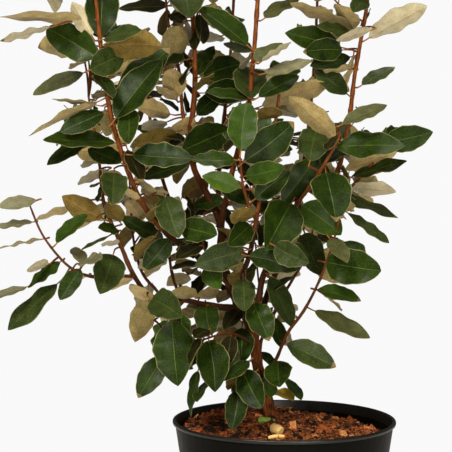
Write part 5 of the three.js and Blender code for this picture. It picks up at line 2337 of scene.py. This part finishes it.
    def scatter_fibres(self) -> Piece:
        """Makes coir fibres: thin bent strands that lie on the bed.

        Returns:
            The new object.
        """
        draw = np.random.default_rng(SEED + 9)
        arrays = MeshArrays()
        tones = (CrumbTone.RUST, CrumbTone.UMBER, CrumbTone.TAN)
        t = np.linspace(-0.5, 0.5, 5)[:, None]
        for place in self.places(draw, self.fibres, 12):
            spin, bend = draw.uniform(0, math.tau), draw.normal(0, 0.35)
            length = float(np.clip(draw.lognormal(2.3, 0.45), 4, 26))
            ahead = np.array([math.cos(spin), math.sin(spin), draw.normal(0.04, 0.14)])
            beside = np.array([-math.sin(spin), math.cos(spin), draw.normal(0, 0.2)])
            path = place + length * (t * ahead + bend * t**2 * beside) + (0.6 + draw.uniform(0, 1.6)) * UP
            path[:, 2] = np.maximum(path[:, 2], self.ground(path[:, 0], path[:, 1]) - 0.4)
            radii = np.array([0.6, 1, 1, 0.9, 0.4]) * draw.uniform(0.16, 0.42)
            arrays.add(*tube(path, radii, 3), int(draw.choice(tones, p=(0.5, 0.2, 0.3))))
        return arrays.make("substrate_fibres", CRUMBS, crease=75)

    def cut_stubs(self) -> Piece:
        """Makes the cut stubs that lie by the trunk's foot: a green stem, a pale one and a pale chip.

        Returns:
            The new object.
        """
        arrays = MeshArrays()
        noise = SoftNoise(SEED + 10)
        for foot, tip, thick, finish in (
            ((-33.0, -20.0), (-13.0, -24.0), (4.2, 3.6), CrumbTone.GREEN),
            ((-17.0, -46.0), (-6.0, -55.0), (6.2, 5.8), CrumbTone.PALE),
            ((-22.0, -63.0), (-2.0, -62.0), (2.6, 2.0), CrumbTone.PALE),
        ):
            ends = np.array([(x, y, float(self.ground(x, y)) + 0.8 * thick[0]) for x, y in (foot, tip)])
            t = np.linspace(0, 1, 12)[:, None]
            path = ends[0] * (1 - t) + ends[1] * t + 1.2 * np.sin(math.pi * t) * UP
            radii = np.linspace(*thick, 12) * np.array([0.72, 0.95, *[1.0] * 8, 0.97, 0.8])
            arrays.add(*tube(path, radii, 14, stem_relief(path, radii, 14, noise)), finish)
        return arrays.make("substrate_stubs", CRUMBS, crease=50)


def turn_about(spin: float, pitch: float, roll: float) -> Array:
    """Gives the matrix of a turn about the upright, after a pitch and a roll.

    Args:
        spin: turn about Z.
        pitch: turn about Y.
        roll: turn about X.

    Returns:
        The matrix.
    """
    cz, sz, cy, sy, cx, sx = (f(a) for a in (spin, pitch, roll) for f in (math.cos, math.sin))
    about_z = np.array([[cz, -sz, 0], [sz, cz, 0], [0, 0, 1]])
    about_y = np.array([[cy, 0, sy], [0, 1, 0], [-sy, 0, cy]])
    about_x = np.array([[1, 0, 0], [0, cx, -sx], [0, sx, cx]])
    return about_z @ about_y @ about_x


# The studio


@dataclass
class SoftBox:
    """One large soft lamp."""

    name: str
    place: Point
    aim: Point
    size: float
    power: float
    colour: Point = (1.0, 0.965, 0.85)

    def build(self) -> None:
        """Makes the lamp."""
        data = bpy.data.lights.new(self.name, "AREA")
        data.shape, data.size, data.energy, data.color = "DISK", self.size, self.power, self.colour
        stand(self.name, data, self.place, np.array(self.aim) - np.array(self.place))


def stand(name: str, data: bpy.types.ID, place: Sequence[float], way: Array) -> Piece:
    """Sets up a lamp or camera.

    Args:
        name: its name.
        data: the lamp or camera.
        place: where it stands, in metres.
        way: the direction that it looks along.

    Returns:
        The new object.
    """
    piece = to_scene(name, data)
    piece.location = place
    piece.rotation_mode = "QUATERNION"
    piece.rotation_quaternion = Vector(tuple(way)).to_track_quat("-Z", "Y")
    return piece


@dataclass
class Studio:
    """A pale sweep under soft lamps, and the camera."""

    view: View = field(default_factory=View)
    floor_radius: float = 14.0
    floor_sides: int = 96
    lens: float = 110.51
    sensor: float = 36.0
    backdrop: float = 0.95
    ambient: float = 0.1
    lamps: tuple[SoftBox, ...] = (
        SoftBox("key_lamp", (-1.3, -2.2, 2.6), (-0.05, 0.0, 0.55), 1.0, 112.0),
        SoftBox("fill_lamp", (0.9, -2.7, 1.0), (-0.05, 0.0, 0.5), 1.6, 66.0),
        SoftBox("top_lamp", (0.1, 0.2, 3.0), (-0.05, 0.0, 0.6), 1.6, 64.0),
    )

    def build(self) -> None:
        """Makes the sweep, the lamps, the surroundings and the camera."""
        self.build_floor()
        for lamp in self.lamps:
            lamp.build()
        self.build_surroundings()
        self.build_camera()
        scene = bpy.context.scene
        scene.view_settings.view_transform = "Standard"
        scene.view_settings.look = "None"

    def build_floor(self) -> None:
        """Makes the round sweep."""
        sides = self.floor_sides
        radii = np.array([self.floor_radius, 0.5 * self.floor_radius, 2.0, 0.6]) / MM
        points = np.vstack([*(r * round_about(sides) for r in radii), np.zeros((1, 3))])
        cap = cap_faces((len(radii) - 1) * sides, sides, len(radii) * sides, True)
        arrays = MeshArrays()
        arrays.add(points, [ring_faces(len(radii), sides), cap])
        arrays.make("studio_floor", [PaperFinish()], crease=60)

    def build_surroundings(self) -> None:
        """Makes the even pale light from all round, and the white that the lens sees."""
        world = bpy.data.worlds.new("studio_surroundings")
        world.use_nodes = True
        tree = Tree(world.node_tree)
        world.node_tree.nodes.clear()
        seen = tree.add("Background", Color=(1, 1, 1, 1), Strength=self.backdrop)
        light = tree.add("Background", Color=(1.0, 0.97, 0.88, 1), Strength=self.ambient)
        lens = tree.add("LightPath").outputs["Is Camera Ray"]
        mix = tree.join(tree.add("MixShader"), lens, light.outputs[0], seen.outputs[0])
        tree.add("OutputWorld", Surface=mix.outputs[0])
        bpy.context.scene.world = world

    def build_camera(self) -> None:
        """Sets the camera at the photograph's viewing angle."""
        data = bpy.data.cameras.new("camera")
        data.lens, data.sensor_width = self.lens, self.sensor
        place = [c * MM for c in self.view.place]
        bpy.context.scene.camera = stand("camera", data, place, self.view.ahead)


def main() -> None:
    """Builds the studio, the pot, its filling, the wood and the foliage, in that order."""
    logging.basicConfig(level=logging.INFO, format="%(message)s")
    Studio().build()
    pot = Pot()
    pot.build()
    Substrate(pot).build()
    wood = Wood()
    foliage = Foliage(PLANS, wood.trunk())
    wood.build(foliage.masses)
    foliage.build()


if __name__ == "__main__":
    main()
